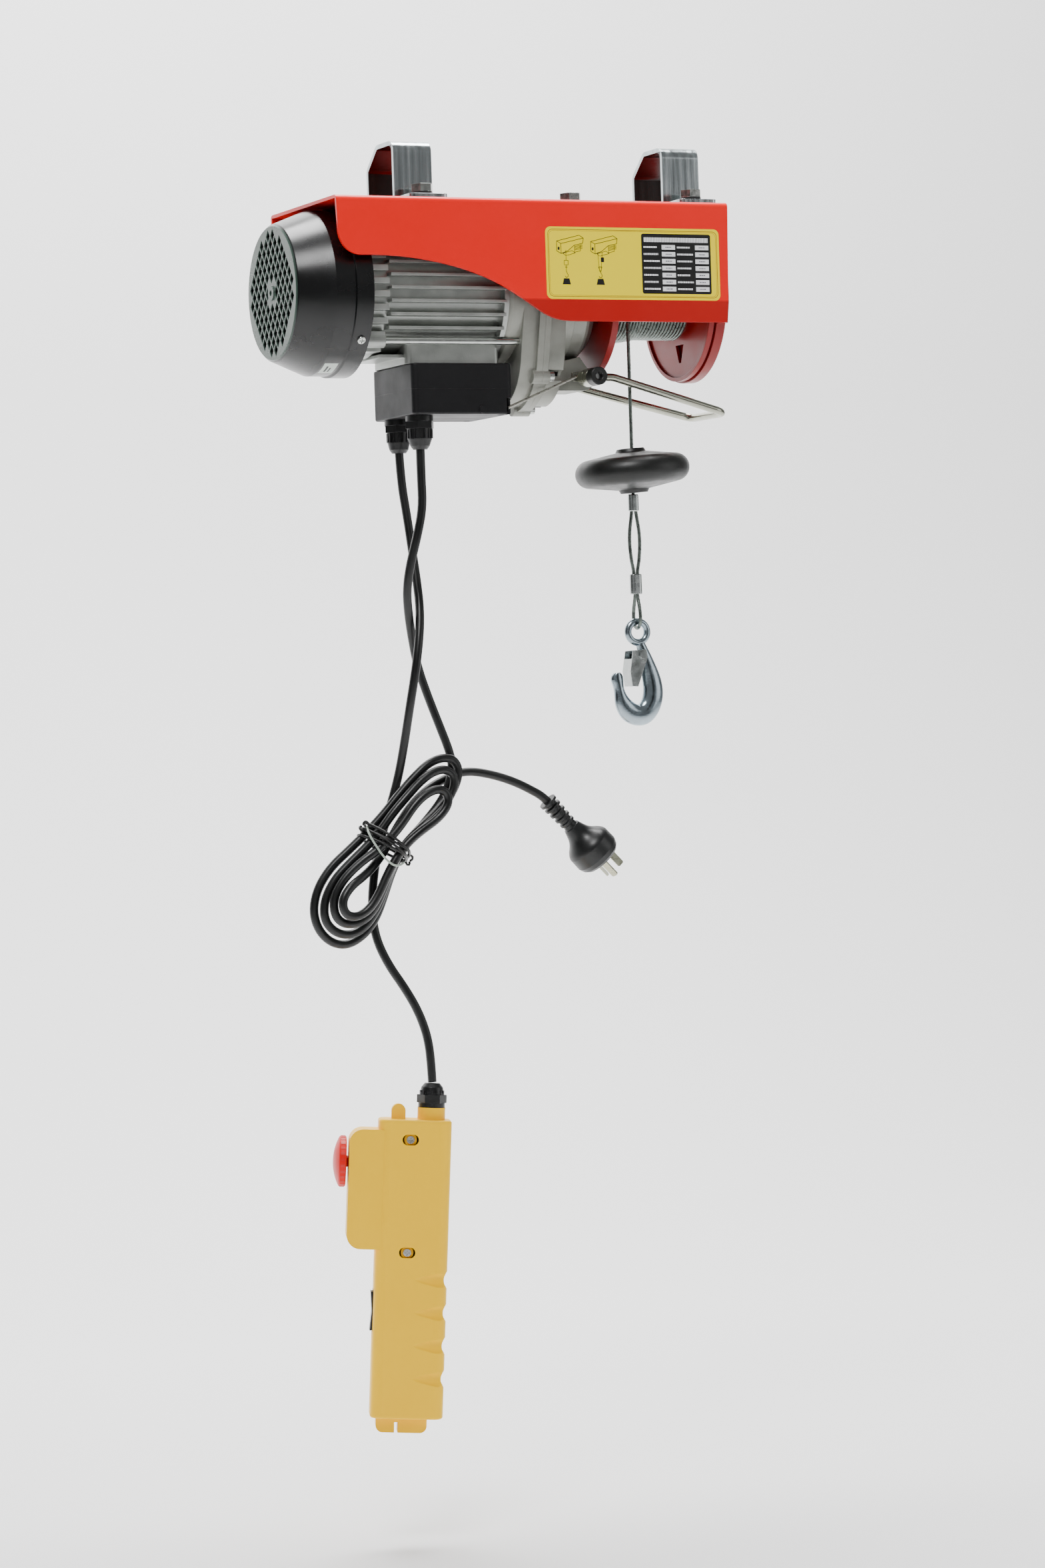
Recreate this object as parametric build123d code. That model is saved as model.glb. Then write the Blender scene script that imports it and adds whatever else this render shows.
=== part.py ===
from build123d import *
import math
import os

# Electric wire rope hoist, millimetres.
# Origin: the beam seat, on the top plate midway between the two hanger brackets.
# +Z up, +X along the hoist from motor to drum, -Y the side with the rating plate.

# ---------------------------------------------------------------- driving dimensions
FRAME_LEFT = -219.5          # ends of the folded steel channel
FRAME_RIGHT = 150.5
FRAME_HALF_WIDTH = 77.5
FRAME_DEPTH = 105.0
LIP_Z = -86.6                # below this line the side plates lean inwards
LIP_SET = 2.6
STEEL = 3.0                  # frame sheet thickness

HANGER_X = 128.5             # hanger brackets stand at +/- this distance
HANGER_WIDTH = 35.5
HANGER_HEIGHT = 54.0
HANGER_HALF = 31.0
HANGER_STEEL = 4.0
HANGER_FOOT = 66.0
HANGER_BOLT_Y = 50.0
MOUNT_BOLT_X = 16.0          # bolts that carry the gearbox
MOUNT_BOLT_Y = 40.0

MOTOR_Z = -76.0              # shaft axes, all parallel to X at y = 0
IDLER_Z = -124.75
DRUM_Z = -82.0

STAGE1_MODULE = 1.25
STAGE2_MODULE = 1.5
PINION_TEETH = 12
IDLER_TEETH = 66
OUTPUT_TEETH = 45
PRESSURE_ANGLE = math.radians(20)
BACKLASH = 0.28

BELL_LEFT = -54.5            # gearbox housing and cover along X
FLANGE_X = -20.0
COVER_RIGHT = 34.0

FAN_FACE_X = -250.0
FAN_RIM_X = -184.5
HOUSING_LEFT = -166.5
TIE_ROD_OFFSET = 44.0
TIE_ROD_R = 3.0

DRUM_LEFT = 41.5
DRUM_RIGHT = 140.5
DRUM_FLANGE_R = 68.5
DRUM_CORE_R = 26.5
OUTPUT_R = 10.0
PLATE_X = 142.0              # dished end plate

ROPE_D = 3.2
ROPE_TURNS = 27
ROPE_X = 69.0                # the hanging rope
ROPE_Y = -37.1
RUN_BOTTOM = -253.0
FERRULE_2_TOP = -323.0
FERRULE_2_BOTTOM = -341.0
EYE_Z = -374.0               # centre of the hook's eye
SWING_Z = -369.9             # the hook swings about the rope inside its eye
DISC_Z = -232.3
DISC_R = 50.5
DISC_TILT = 4.0

LEVER_X = 28.5               # limit lever pivot, its axis along Y
LEVER_Z = -151.0
LEVER_ROD_R = 3.5
LEVER_NEAR = -46.0
LEVER_FAR = 20.0
LEVER_END_X = 157.0
LEVER_END_Z = -182.0
ROD_ARM_X = 15.5             # joint between the lever's arm and the thin switch rod
ROD_ARM_Z = -150.0
ROD_END_X = -51.3
ROD_SLOPE = 0.409

BOX_LEFT = -141.0            # switch box
BOX_RIGHT = -47.5
BOX_HALF = 46.0
BOX_TOP = -139.0
BOX_SEAM = -161.0
BOX_BOTTOM = -183.0
BOX_WALL = 2.4
GLAND_X = -127.0
GLAND_Y = 24.0
GLAND_LENGTH = 29.0

CORD_R = 3.85
HANK_FRONT = -25.0
HANK_BACK = 1.0

PLUG_AT = (-12.0, -12.0, -520.0)
PLUG_DROP = 46.0             # the plug points down by this angle

HANDSET_AT = (-148.86, -15.21, -790.06)
HANDSET_LEAN = 4.0
HANDSET_TURN = -20.0
HANDSET_W = 63.0
HANDSET_D = 42.0
HANDSET_L = 257.0
HANDSET_WALL = 2.6
STUB_X = 14.0

FIT = 0.05                   # radial gap between a shaft and what turns on it

pieces = {}


# ---------------------------------------------------------------- helpers
def cyl_x(radius, x0, x1, y=0.0, z=0.0):
    """Cylinder along X from x0 to x1."""
    return Pos((x0 + x1) / 2, y, z) * Rot(0, 90, 0) * Cylinder(radius, abs(x1 - x0))


def cyl_y(radius, y0, y1, x=0.0, z=0.0):
    """Cylinder along Y from y0 to y1."""
    return Pos(x, (y0 + y1) / 2, z) * Rot(90, 0, 0) * Cylinder(radius, abs(y1 - y0))


def cyl_z(radius, z0, z1, x=0.0, y=0.0):
    """Cylinder along Z from z0 to z1."""
    return Pos(x, y, (z0 + z1) / 2) * Cylinder(radius, abs(z1 - z0))


def block(x0, x1, y0, y1, z0, z1):
    """Box between two corners."""
    return Pos((x0 + x1) / 2, (y0 + y1) / 2, (z0 + z1) / 2) * Box(x1 - x0, y1 - y0, z1 - z0)


def ring_x(outer, inner, x0, x1, y=0.0, z=0.0):
    """Hollow cylinder along X."""
    return cyl_x(outer, x0, x1, y, z) - cyl_x(inner, x0 - 1, x1 + 1, y, z)


def spin_x(profile, z, y=0.0):
    """Solid of revolution about an axis along X; profile is a list of (x, radius)."""
    outline = Polyline([(x, 0, r) for x, r in profile], close=True)
    return Pos(0, y, z) * revolve(make_face(outline), Axis.X)


def spin_z(profile):
    """Solid of revolution about Z; profile is a list of (radius, z)."""
    outline = Polyline([(r, 0, z) for r, z in profile], close=True)
    return revolve(make_face(outline), Axis.Z)


def prism_x(outline, x0, x1):
    """Outline of (y, z) points pushed along X."""
    face = make_face(Polyline([(x0, y, z) for y, z in outline], close=True))
    return extrude(face, amount=x1 - x0, dir=(1, 0, 0))


def prism_y(outline, y0, y1):
    """Outline of (x, z) points pushed along Y."""
    face = make_face(Polyline([(x, y0, z) for x, z in outline], close=True))
    return extrude(face, amount=y1 - y0, dir=(0, 1, 0))


def belt_x(r_top, z_top, r_low, z_low, x0, x1):
    """Two cylinders along X, one above the other, with the tangent web between them."""
    sine = (r_low - r_top) / (z_top - z_low)
    cosine = math.sqrt(1 - sine * sine)
    top = (r_top * cosine, z_top + r_top * sine)
    low = (r_low * cosine, z_low + r_low * sine)
    web = prism_x([top, low, (-low[0], low[1]), (-top[0], top[1])], x0, x1)
    return web + cyl_x(r_top, x0, x1, 0, z_top) + cyl_x(r_low, x0, x1, 0, z_low)


def hex_z(across_flats, z0, z1, x, y):
    """Hexagon along Z."""
    hexagon = RegularPolygon(across_flats / 2, 6, major_radius=False)
    return Pos(x, y, z0) * extrude(hexagon, amount=z1 - z0)


def group(solids):
    """Separate solids kept in one node."""
    return Compound(children=[s for s in solids])


def piece(name, shape):
    pieces[name] = shape


# ---------------------------------------------------------------- frame
def make_frame():
    """Folded channel: sweeping lower edge at the motor, full depth at the drum."""
    half = FRAME_HALF_WIDTH
    lip = half - LIP_SET
    outer = [(-lip, -FRAME_DEPTH), (-half, LIP_Z), (-half, 0), (half, 0), (half, LIP_Z), (lip, -FRAME_DEPTH)]
    inner = [(y - math.copysign(STEEL, y), z) for y, z in outer]
    inner[2] = (inner[2][0], -STEEL)
    inner[3] = (inner[3][0], -STEEL)
    section = make_face(Polyline([(FRAME_LEFT, y, z) for y, z in outer + inner[::-1]], close=True))
    channel = extrude(section, amount=FRAME_RIGHT - FRAME_LEFT, dir=(1, 0, 0))
    bends = [e for e in channel.edges().filter_by(Axis.X) if e.center().Z > -STEEL - 0.1]
    tops = [e for e in bends if e.center().Z > -0.1]
    channel = fillet(tops, 4.5)

    left = Line((FRAME_LEFT, 0, 5), (FRAME_LEFT + 1.5, 0, -31))
    corner = ThreePointArc((FRAME_LEFT + 1.5, 0, -31), (-212.5, 0, -44), (-199, 0, -50.6))
    flat = Line((-199, 0, -50.6), (-186, 0, -50.5))
    sweep_down = Spline(
        (-186, 0, -50.5), (-124, 0, -56.6), (-62.5, 0, -77.9), (-29, 0, -98.1), (4, 0, -FRAME_DEPTH),
        tangents=[(1, 0, 0), (1, 0, 0)],
    )
    base = Polyline((4, 0, -FRAME_DEPTH), (FRAME_RIGHT - 2.5, 0, -FRAME_DEPTH), (FRAME_RIGHT, 0, 5))
    lid = Line((FRAME_RIGHT, 0, 5), (FRAME_LEFT, 0, 5))
    side = make_face(Wire([left, corner, flat, sweep_down] + list(base.edges()) + [lid]))
    mask = extrude(side, amount=100, dir=(0, 1, 0), both=True)
    channel = channel & mask

    for sign in (-1, 1):
        for side_y in (-1, 1):
            channel = channel - cyl_z(5.2, -5, 5, sign * HANGER_X, side_y * HANGER_BOLT_Y)
    for side_y in (-1, 1):
        channel = channel - cyl_z(5.2, -5, 5, MOUNT_BOLT_X, side_y * MOUNT_BOLT_Y)
    piece("frame_channel", channel)


def make_end_plate():
    """Dished plate that closes the drum end: flat disc, rim turned outwards, bearing boss."""
    half = FRAME_HALF_WIDTH - STEEL - 0.1
    upper = [(-half, -STEEL - 0.1), (half, -STEEL - 0.1), (half, LIP_Z), (-half, LIP_Z)]
    shoulder = [(-half, LIP_Z), (half, LIP_Z), (half - 3.5, -FRAME_DEPTH), (-half + 3.5, -FRAME_DEPTH)]
    shape = prism_x(upper, PLATE_X, FRAME_RIGHT) + prism_x(shoulder, PLATE_X, FRAME_RIGHT)
    shape = shape + cyl_x(70, PLATE_X, FRAME_RIGHT, 0, DRUM_Z)
    cavity = cyl_x(66.5, PLATE_X + STEEL, FRAME_RIGHT + 1, 0, DRUM_Z)
    keep = cyl_x(24, PLATE_X, FRAME_RIGHT + 1, 0, DRUM_Z)
    shape = shape - (cavity - keep)
    shape = shape - cyl_x(16.05, PLATE_X + 1.5, FRAME_RIGHT + 1, 0, DRUM_Z)
    shape = shape - cyl_x(12.5, PLATE_X - 1, FRAME_RIGHT, 0, DRUM_Z)
    piece("drum_end_plate", shape)


def make_hangers():
    """Inverted U straps; the far shoulder is cut back to a long slope."""
    slope = (HANGER_HALF, HANGER_HEIGHT - 19)
    outline = FilletPolyline(
        (0, -HANGER_HALF, -20), (0, -HANGER_HALF, HANGER_HEIGHT), (0, 7, HANGER_HEIGHT),
        (0, slope[0], slope[1]), (0, HANGER_HALF, -20),
        radius=[10.5, 9, 9],
    )
    closing = Line((0, HANGER_HALF, -20), (0, -HANGER_HALF, -20))
    outer = make_face(Wire(list(outline.edges()) + [closing]))
    inner = offset(outer, amount=-HANGER_STEEL)
    outer_solid = extrude(outer, amount=HANGER_WIDTH / 2, dir=(1, 0, 0), both=True)
    inner_solid = extrude(inner, amount=HANGER_WIDTH, dir=(1, 0, 0), both=True)
    strap = outer_solid - inner_solid
    strap = strap - block(-50, 50, -60, 60, -40, 0)
    for sign in (-1, 1):
        low, high = sorted((sign * (HANGER_HALF - 1), sign * HANGER_FOOT))
        foot = block(-HANGER_WIDTH / 2, HANGER_WIDTH / 2, low, high, 0, HANGER_STEEL)
        corners = [e for e in foot.edges().filter_by(Axis.Z) if abs(e.center().Y) > HANGER_FOOT - 1]
        foot = fillet(corners, 4)
        strap = strap + (foot - cyl_z(5.2, -1, 5, 0, sign * HANGER_BOLT_Y))
    piece("hanger_bracket_left", Pos(-HANGER_X, 0, 0) * strap)
    piece("hanger_bracket_right", Pos(HANGER_X, 0, 0) * strap)


def make_frame_bolts():
    """M10 bolts with nuts at the hangers, two longer ones into the gearbox, and spring washers."""
    bolts = []
    washers = []
    for sign in (-1, 1):
        for side_y in (-1, 1):
            x, y = sign * HANGER_X, side_y * HANGER_BOLT_Y
            head = HANGER_STEEL + 3
            bolts.append(hex_z(17, head, head + 6.5, x, y) + cyl_z(4.9, -14, head, x, y))
            washers.append(cyl_z(8.7, HANGER_STEEL, head, x, y) - cyl_z(5.0, 3, 8, x, y))
            bolts.append(hex_z(17, -STEEL - 8, -STEEL, x, y) - cyl_z(4.95, -14, 0, x, y))
    for side_y in (-1, 1):
        x, y = MOUNT_BOLT_X, side_y * MOUNT_BOLT_Y
        bolts.append(hex_z(17, 3, 9.5, x, y) + cyl_z(4.9, -24, 3, x, y))
        washers.append(cyl_z(8.7, 0, 3, x, y) - cyl_z(5.0, -1, 4, x, y))
    piece("frame_bolts", group(bolts))
    piece("spring_washers", group(washers))


def make_nameplate():
    plate = block(-26.5, 140.5, -FRAME_HALF_WIDTH - 0.5, -FRAME_HALF_WIDTH, -86.4, -24)
    plate = fillet(plate.edges().filter_by(Axis.Y), 5)
    piece("rating_plate", plate)


# ---------------------------------------------------------------- motor
def make_motor_housing():
    """Die-cast barrel with level cooling fins and a pad for the switch box."""
    left, right = HOUSING_LEFT, BELL_LEFT
    barrel = cyl_x(55, left, right, 0, MOTOR_Z)
    fins = None
    for k in range(-5, 6):
        dz = k * 11.2
        reach = math.sqrt(64 ** 2 - dz ** 2)
        fin = block(left + 1.5, right - 3, -reach, reach, MOTOR_Z + dz - 1.3, MOTOR_Z + dz + 1.3)
        fins = fin if fins is None else fins + fin
    body = barrel + fins + cyl_x(62, right - 4.5, right, 0, MOTOR_Z)
    pad = block(-143, -55, -38, 38, BOX_TOP, MOTOR_Z - 40)
    pad = fillet(pad.edges().filter_by(Axis.Z), 5)
    body = body + pad
    body = body - cyl_x(50, left - 1, right + 1, 0, MOTOR_Z)
    for sy in (-1, 1):
        for sz in (-1, 1):
            y, z = sy * TIE_ROD_OFFSET, MOTOR_Z + sz * TIE_ROD_OFFSET
            body = body - cyl_x(4.6, left - 1, right + 1, y, z)
    piece("motor_housing", body)


def make_motor_end_shield():
    """Rear bearing shield: short ribs, four tie rod lugs, flange that carries the fan cover."""
    shield = cyl_x(56, -190, HOUSING_LEFT, 0, MOTOR_Z)
    shield = shield + cyl_x(69.8, -197, -189, 0, MOTOR_Z)
    for k in range(-5, 5):
        dz = (k + 0.5) * 11.2
        reach = math.sqrt(63 ** 2 - dz ** 2)
        shield = shield + block(-189.5, HOUSING_LEFT, -reach, reach, MOTOR_Z + dz - 2.6, MOTOR_Z + dz + 2.6)
    shield = shield - cyl_x(50, -179, HOUSING_LEFT + 1, 0, MOTOR_Z)
    shield = shield + cyl_x(23, -190, -170, 0, MOTOR_Z)
    shield = shield - cyl_x(17.5, -182, -169, 0, MOTOR_Z)
    shield = shield - cyl_x(9.5, -200, -160, 0, MOTOR_Z)
    for angle in COVER_SCREW_ANGLES:
        shield = shield - Pos(-192, 0, MOTOR_Z) * Rot(angle, 0, 0) * cyl_z(2.0, 60, 80)
    for sy in (-1, 1):
        for sz in (-1, 1):
            y, z = sy * TIE_ROD_OFFSET, MOTOR_Z + sz * TIE_ROD_OFFSET
            shield = shield + cyl_x(6.5, -186, HOUSING_LEFT, y, z)
            shield = shield - cyl_x(TIE_ROD_R + 0.1, -200, HOUSING_LEFT + 1, y, z)
    piece("motor_end_shield", shield)


def make_tie_rods():
    rods = []
    for sy in (-1, 1):
        for sz in (-1, 1):
            y, z = sy * TIE_ROD_OFFSET, MOTOR_Z + sz * TIE_ROD_OFFSET
            rods.append(cyl_x(TIE_ROD_R, -196.5, -26, y, z) + cyl_x(5.2, -201, -197, y, z))
    piece("tie_rods", group(rods))


def make_stator():
    """Laminated core and the two end turns of its windings."""
    core = ring_x(49.9, 30.6, -150, -80, 0, MOTOR_Z)
    slots = 24
    for k in range(slots):
        angle = 360 / slots * k
        slot = Pos(0, 0, MOTOR_Z) * Rot(angle, 0, 0) * block(-151, -79, -1.6, 1.6, 30, 42)
        core = core - slot
    left = spin_x([(-165, 36), (-165, 46), (-162, 48.5), (-150.2, 48.5), (-150.2, 33)], MOTOR_Z)
    right = spin_x([(-79.8, 33), (-79.8, 48.5), (-68, 48.5), (-65, 46), (-65, 36)], MOTOR_Z)
    piece("stator", group([core, left, right]))


def make_rotor():
    """Shaft with its cut pinion, the squirrel cage core, brake disc and cooling fan."""
    shaft = cyl_x(7.5, -238, -18, 0, MOTOR_Z) + cyl_x(4.5, -18, -2, 0, MOTOR_Z)
    shaft = shaft + gear(PINION_TEETH, STAGE1_MODULE, 1.0, -13, -2.5, 0, 180, MOTOR_Z)
    piece("rotor_shaft", shaft)
    piece("rotor_core", ring_x(30, 7.5 + FIT, -152, -78, 0, MOTOR_Z))
    disc = ring_x(41, 7.5 + FIT, -212.5, -208.5, 0, MOTOR_Z)
    piece("brake_disc", disc + ring_x(13, 7.5 + FIT, -216, -208.5, 0, MOTOR_Z))
    fan = ring_x(14, 7.5 + FIT, -238, -217, 0, MOTOR_Z) + ring_x(53, 12, -220, -217, 0, MOTOR_Z)
    blades = 8
    for k in range(blades):
        blade = Pos(0, 0, MOTOR_Z) * Rot(360 / blades * k, 0, 0) * block(-236, -219, -1, 1, 13, 52)
        fan = fan + blade
    piece("cooling_fan", fan)


def make_bearings():
    """Ball bearings of the rotor, the idler and the output shaft."""
    rear = ring_x(17.4, 7.5 + FIT, -182, -171, 0, MOTOR_Z)
    front = ring_x(17.4, 7.5 + FIT, -42, -31, 0, MOTOR_Z)
    idler_left = ring_x(13, 6 + FIT, -30, -21, 0, IDLER_Z)
    idler_right = ring_x(13, 6 + FIT, 18.5, 27, 0, IDLER_Z)
    output = ring_x(21, OUTPUT_R + FIT, 19, 31, 0, DRUM_Z)
    drum_end = ring_x(16, OUTPUT_R + FIT, PLATE_X + 1.6, FRAME_RIGHT - 0.5, 0, DRUM_Z)
    piece("shaft_bearings", group([rear, front, idler_left, idler_right, output, drum_end]))


def make_brake_coil():
    shell = ring_x(43, 16, -207.8, -197.1, 0, MOTOR_Z)
    groove = ring_x(37, 24, -209, -204, 0, MOTOR_Z)
    piece("brake_coil", shell - groove)


def make_fan_cover():
    """Moulded cover: grille face, cone, cylinder and a thicker rim."""
    wall = 2.2
    outer = [(FAN_FACE_X, 0), (FAN_FACE_X, 57), (FAN_FACE_X + 2, 59), (-218, 71), (-201, 71), (-200.5, 71.8),
             (-200, 72.5), (FAN_RIM_X, 72.5), (FAN_RIM_X, 0)]
    inner = [(FAN_FACE_X + wall, 0), (FAN_FACE_X + wall, 56.6), (-218, 71 - wall), (-198, 71 - wall),
             (-198, 70), (FAN_RIM_X + 1, 70), (FAN_RIM_X + 1, 0)]
    cover = spin_x(outer, MOTOR_Z) - spin_x(inner, MOTOR_Z)
    holes = []
    pitch = 10.6
    for i in range(-6, 7):
        for j in range(-6, 7):
            y = (i + j) * pitch / 2
            z = (i - j) * pitch / 2 * 1.32
            distance = math.hypot(y, z)
            if 9 < distance < 49.5:
                diamond = [(y - 4.3, z), (y, z + 5.8), (y + 4.3, z), (y, z - 5.8)]
                holes.append(prism_x([(a, MOTOR_Z + b) for a, b in diamond], FAN_FACE_X - 1, FAN_FACE_X + 4))
    cover = cover - holes
    cover = cover + cyl_x(6.5, FAN_FACE_X - 1.2, FAN_FACE_X + wall, 0, MOTOR_Z)
    cover = cover - cyl_x(2.5, FAN_FACE_X - 2, FAN_FACE_X + 0.8, 0, MOTOR_Z)
    for angle in COVER_SCREW_ANGLES:
        hole = Pos(-192, 0, MOTOR_Z) * Rot(angle, 0, 0) * cyl_z(2.1, 60, 80)
        cover = cover - hole
    piece("fan_cover", cover)


COVER_SCREW_ANGLES = (52, 128, 232, 308)


def make_cover_screws():
    screws = []
    for angle in COVER_SCREW_ANGLES:
        head = cyl_z(3.8, 72.6, 74.6)
        head = fillet(head.edges().group_by(Axis.Z)[-1], 1.2)
        cross = block(-2.4, 2.4, -0.4, 0.4, 73.4, 76) + block(-0.4, 0.4, -2.4, 2.4, 73.4, 76)
        screw = head - cross + cyl_z(1.9, 63, 72.6)
        screws.append(Pos(-192, 0, MOTOR_Z) * Rot(angle, 0, 0) * screw)
    piece("fan_cover_screws", group(screws))


# ---------------------------------------------------------------- gears
def gear(teeth, module, addendum, x0, x1, bore, phase, z):
    """Involute spur gear along X; one tooth points at the angle phase from +Z; bore 0 is solid."""
    pitch_r = teeth * module / 2
    base_r = pitch_r * math.cos(PRESSURE_ANGLE)
    tip_r = pitch_r + addendum * module
    root_r = pitch_r - 1.25 * module
    involute = math.tan(PRESSURE_ANGLE) - PRESSURE_ANGLE
    half_pitch = math.pi / (2 * teeth) - BACKLASH / (2 * pitch_r)

    def half_angle(radius):
        if radius <= base_r:
            return half_pitch + involute
        a = math.acos(base_r / radius)
        return half_pitch + involute - (math.tan(a) - a)

    start_r = max(root_r, base_r)
    steps = 4
    radii = [start_r + (tip_r - start_r) * i / steps for i in range(steps + 1)]
    if root_r < base_r:
        radii = [root_r] + radii
    points = []
    for tooth in range(teeth):
        middle = 2 * math.pi * tooth / teeth + math.radians(phase)
        for r in radii:
            points.append((r, middle - half_angle(r)))
        for r in reversed(radii):
            points.append((r, middle + half_angle(r)))
    outline = [(-r * math.sin(a), z + r * math.cos(a)) for r, a in points]
    blank = prism_x(outline, x0, x1)
    return blank - cyl_x(bore, x0 - 1, x1 + 1, 0, z) if bore else blank


def make_idler():
    """Intermediate shaft with its cut pinion, and the large wheel that the motor drives."""
    shaft = cyl_x(6, -31, 27, 0, IDLER_Z)
    pinion = gear(PINION_TEETH, STAGE2_MODULE, 1.0, 3.5, 17.5, 0, 0, IDLER_Z)
    piece("idler_shaft", shaft + pinion)
    wheel = gear(IDLER_TEETH, STAGE1_MODULE, 0.75, -12, -3.5, 6 + FIT, 180 / IDLER_TEETH, IDLER_Z)
    recess = ring_x(35, 13, -13, -10, 0, IDLER_Z) + ring_x(35, 13, -5.5, -2, 0, IDLER_Z)
    wheel = wheel - recess
    for k in range(5):
        wheel = wheel - Pos(0, 0, IDLER_Z) * Rot(72 * k, 0, 0) * cyl_x(6, -14, 0, 0, 24)
    piece("idler_gear", wheel)


def make_gearbox():
    """Bell housing bolted to the motor, and the cover that carries the output shaft and the lever."""
    bell = spin_x([(BELL_LEFT, 0), (BELL_LEFT, 59), (-50, 61), (-26, 61), (-26, 0)], MOTOR_Z)
    lower = belt_x(61, MOTOR_Z, 50, IDLER_Z, -40, -26)
    plate = belt_x(64.5, MOTOR_Z, 53.5, IDLER_Z, -26, FLANGE_X)
    housing = bell + lower + plate
    for sy in (-1, 1):
        for sz in (-1, 1):
            y, z = sy * TIE_ROD_OFFSET, MOTOR_Z + sz * TIE_ROD_OFFSET
            housing = housing + cyl_x(7.2, -36, -26, y, z)
    housing = housing - spin_x([(BELL_LEFT - 1, 0), (BELL_LEFT - 1, 50), (-47, 50), (-43, 40), (-43, 0)], MOTOR_Z)
    housing = housing - cyl_x(17.5, -44, -31, 0, MOTOR_Z)
    housing = housing - cyl_x(10, -60, -10, 0, MOTOR_Z)
    housing = housing - cyl_x(13.05, -33, -10, 0, IDLER_Z)
    for sy in (-1, 1):
        for sz in (-1, 1):
            y, z = sy * TIE_ROD_OFFSET, MOTOR_Z + sz * TIE_ROD_OFFSET
            housing = housing - cyl_x(TIE_ROD_R + 0.1, -60, -25.5, y, z)
    for y, z in GEARBOX_BOLTS:
        housing = housing + cyl_x(6.5, -29, FLANGE_X, y, z)
        housing = housing - cyl_x(2.6, -28, -19, y, z)
    piece("gearbox_housing", housing)

    cover = belt_x(64.5, MOTOR_Z, 53.5, IDLER_Z, FLANGE_X, -14.5)
    cover = cover + belt_x(56, DRUM_Z, 49, IDLER_Z, -15, 2)
    cover = cover + belt_x(54.5, DRUM_Z, 19, IDLER_Z, 1, 24)
    cover = cover + cyl_x(57, 1, 11, 0, DRUM_Z)
    snout = spin_x([(23, 0), (23, 54.5), (27, 53), (COVER_RIGHT, 46), (COVER_RIGHT, 0)], DRUM_Z)
    cover = cover + snout
    for side_y in (-1, 1):
        post = cyl_z(9, -60, -STEEL - 0.05, MOUNT_BOLT_X, side_y * MOUNT_BOLT_Y)
        cover = cover + post
    arm = prism_y([(-12, -161.5), (-12, -140), (24, -132), (LEVER_X + 6, -146), (LEVER_X, -161.5)], -31, 10)
    boss = cyl_y(10, -31, 10, LEVER_X, LEVER_Z)
    cover = cover + arm + boss
    for y, z in GEARBOX_BOLTS:
        cover = cover + cyl_x(6.5, FLANGE_X, -13, y, z)
    cover = cover - belt_x(20, MOTOR_Z, 45.5, IDLER_Z, -30, -1)
    cover = cover - belt_x(38, DRUM_Z, 14, IDLER_Z, -2, 18.7)
    cover = cover - cyl_x(13.05, 17, 27.2, 0, IDLER_Z)
    cover = cover - cyl_x(21.05, 18, 31, 0, DRUM_Z)
    cover = cover - cyl_x(OUTPUT_R + 1.5, 18, 40, 0, DRUM_Z)
    cover = cover - cyl_y(4 + FIT, -40, 20, LEVER_X, LEVER_Z)
    for side_y in (-1, 1):
        cover = cover - cyl_z(5.0, -25, 0, MOUNT_BOLT_X, side_y * MOUNT_BOLT_Y)
    for y, z in GEARBOX_BOLTS:
        cover = cover - cyl_x(2.6, -21, -5, y, z) - cyl_x(5.4, -13, 3, y, z)
    piece("gearbox_cover", cover)

    bolts = []
    for y, z in GEARBOX_BOLTS:
        bolts.append(cyl_x(2.5, -27.5, -13, y, z) + cyl_x(4.6, -13, -8, y, z) - hexagon_socket(y, z))
    piece("gearbox_bolts", group(bolts))


def hexagon_socket(y, z):
    """Key socket in the head of a gearbox bolt."""
    hexagon = RegularPolygon(2.0, 6, major_radius=False)
    return Pos(-10.5, y, z) * Rot(0, 90, 0) * extrude(hexagon, amount=5)


def flange_point(angle, top):
    """A bolt place on the flange: on the upper arc about the motor, or the lower about the idler."""
    radius, centre = (61.5, MOTOR_Z) if top else (50.5, IDLER_Z)
    return (radius * math.cos(math.radians(angle)), centre + radius * math.sin(math.radians(angle)))


GEARBOX_BOLTS = [flange_point(a, True) for a in (0, 60, 120, 180)]
GEARBOX_BOLTS += [flange_point(a, False) for a in (-150, -90, -30)]


# ---------------------------------------------------------------- drum and rope
def make_drum():
    """Spool with two rimmed flanges; a wedge opening in the right one anchors the rope."""
    core = ring_x(DRUM_CORE_R, 22.5, DRUM_LEFT, DRUM_RIGHT, 0, DRUM_Z)
    left = cyl_x(DRUM_FLANGE_R, DRUM_LEFT, DRUM_LEFT + 3, 0, DRUM_Z)
    left = left + ring_x(DRUM_FLANGE_R, 65, DRUM_LEFT, DRUM_LEFT + 6, 0, DRUM_Z)
    right = cyl_x(DRUM_FLANGE_R, DRUM_RIGHT - 3, DRUM_RIGHT, 0, DRUM_Z)
    right = right + ring_x(DRUM_FLANGE_R, 65, DRUM_RIGHT - 5, DRUM_RIGHT, 0, DRUM_Z)
    hubs = cyl_x(23, DRUM_LEFT, DRUM_LEFT + 16, 0, DRUM_Z) + cyl_x(23, DRUM_RIGHT - 16, DRUM_RIGHT, 0, DRUM_Z)
    wedge = prism_x([(-8, DRUM_Z - 36), (8, DRUM_Z - 36), (2, DRUM_Z - 52), (-2, DRUM_Z - 52)], 130, 150)
    drum = core + left + right + hubs - wedge
    drum = drum - cyl_x(OUTPUT_R + FIT, 30, 160, 0, DRUM_Z)
    piece("rope_drum", drum)


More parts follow.
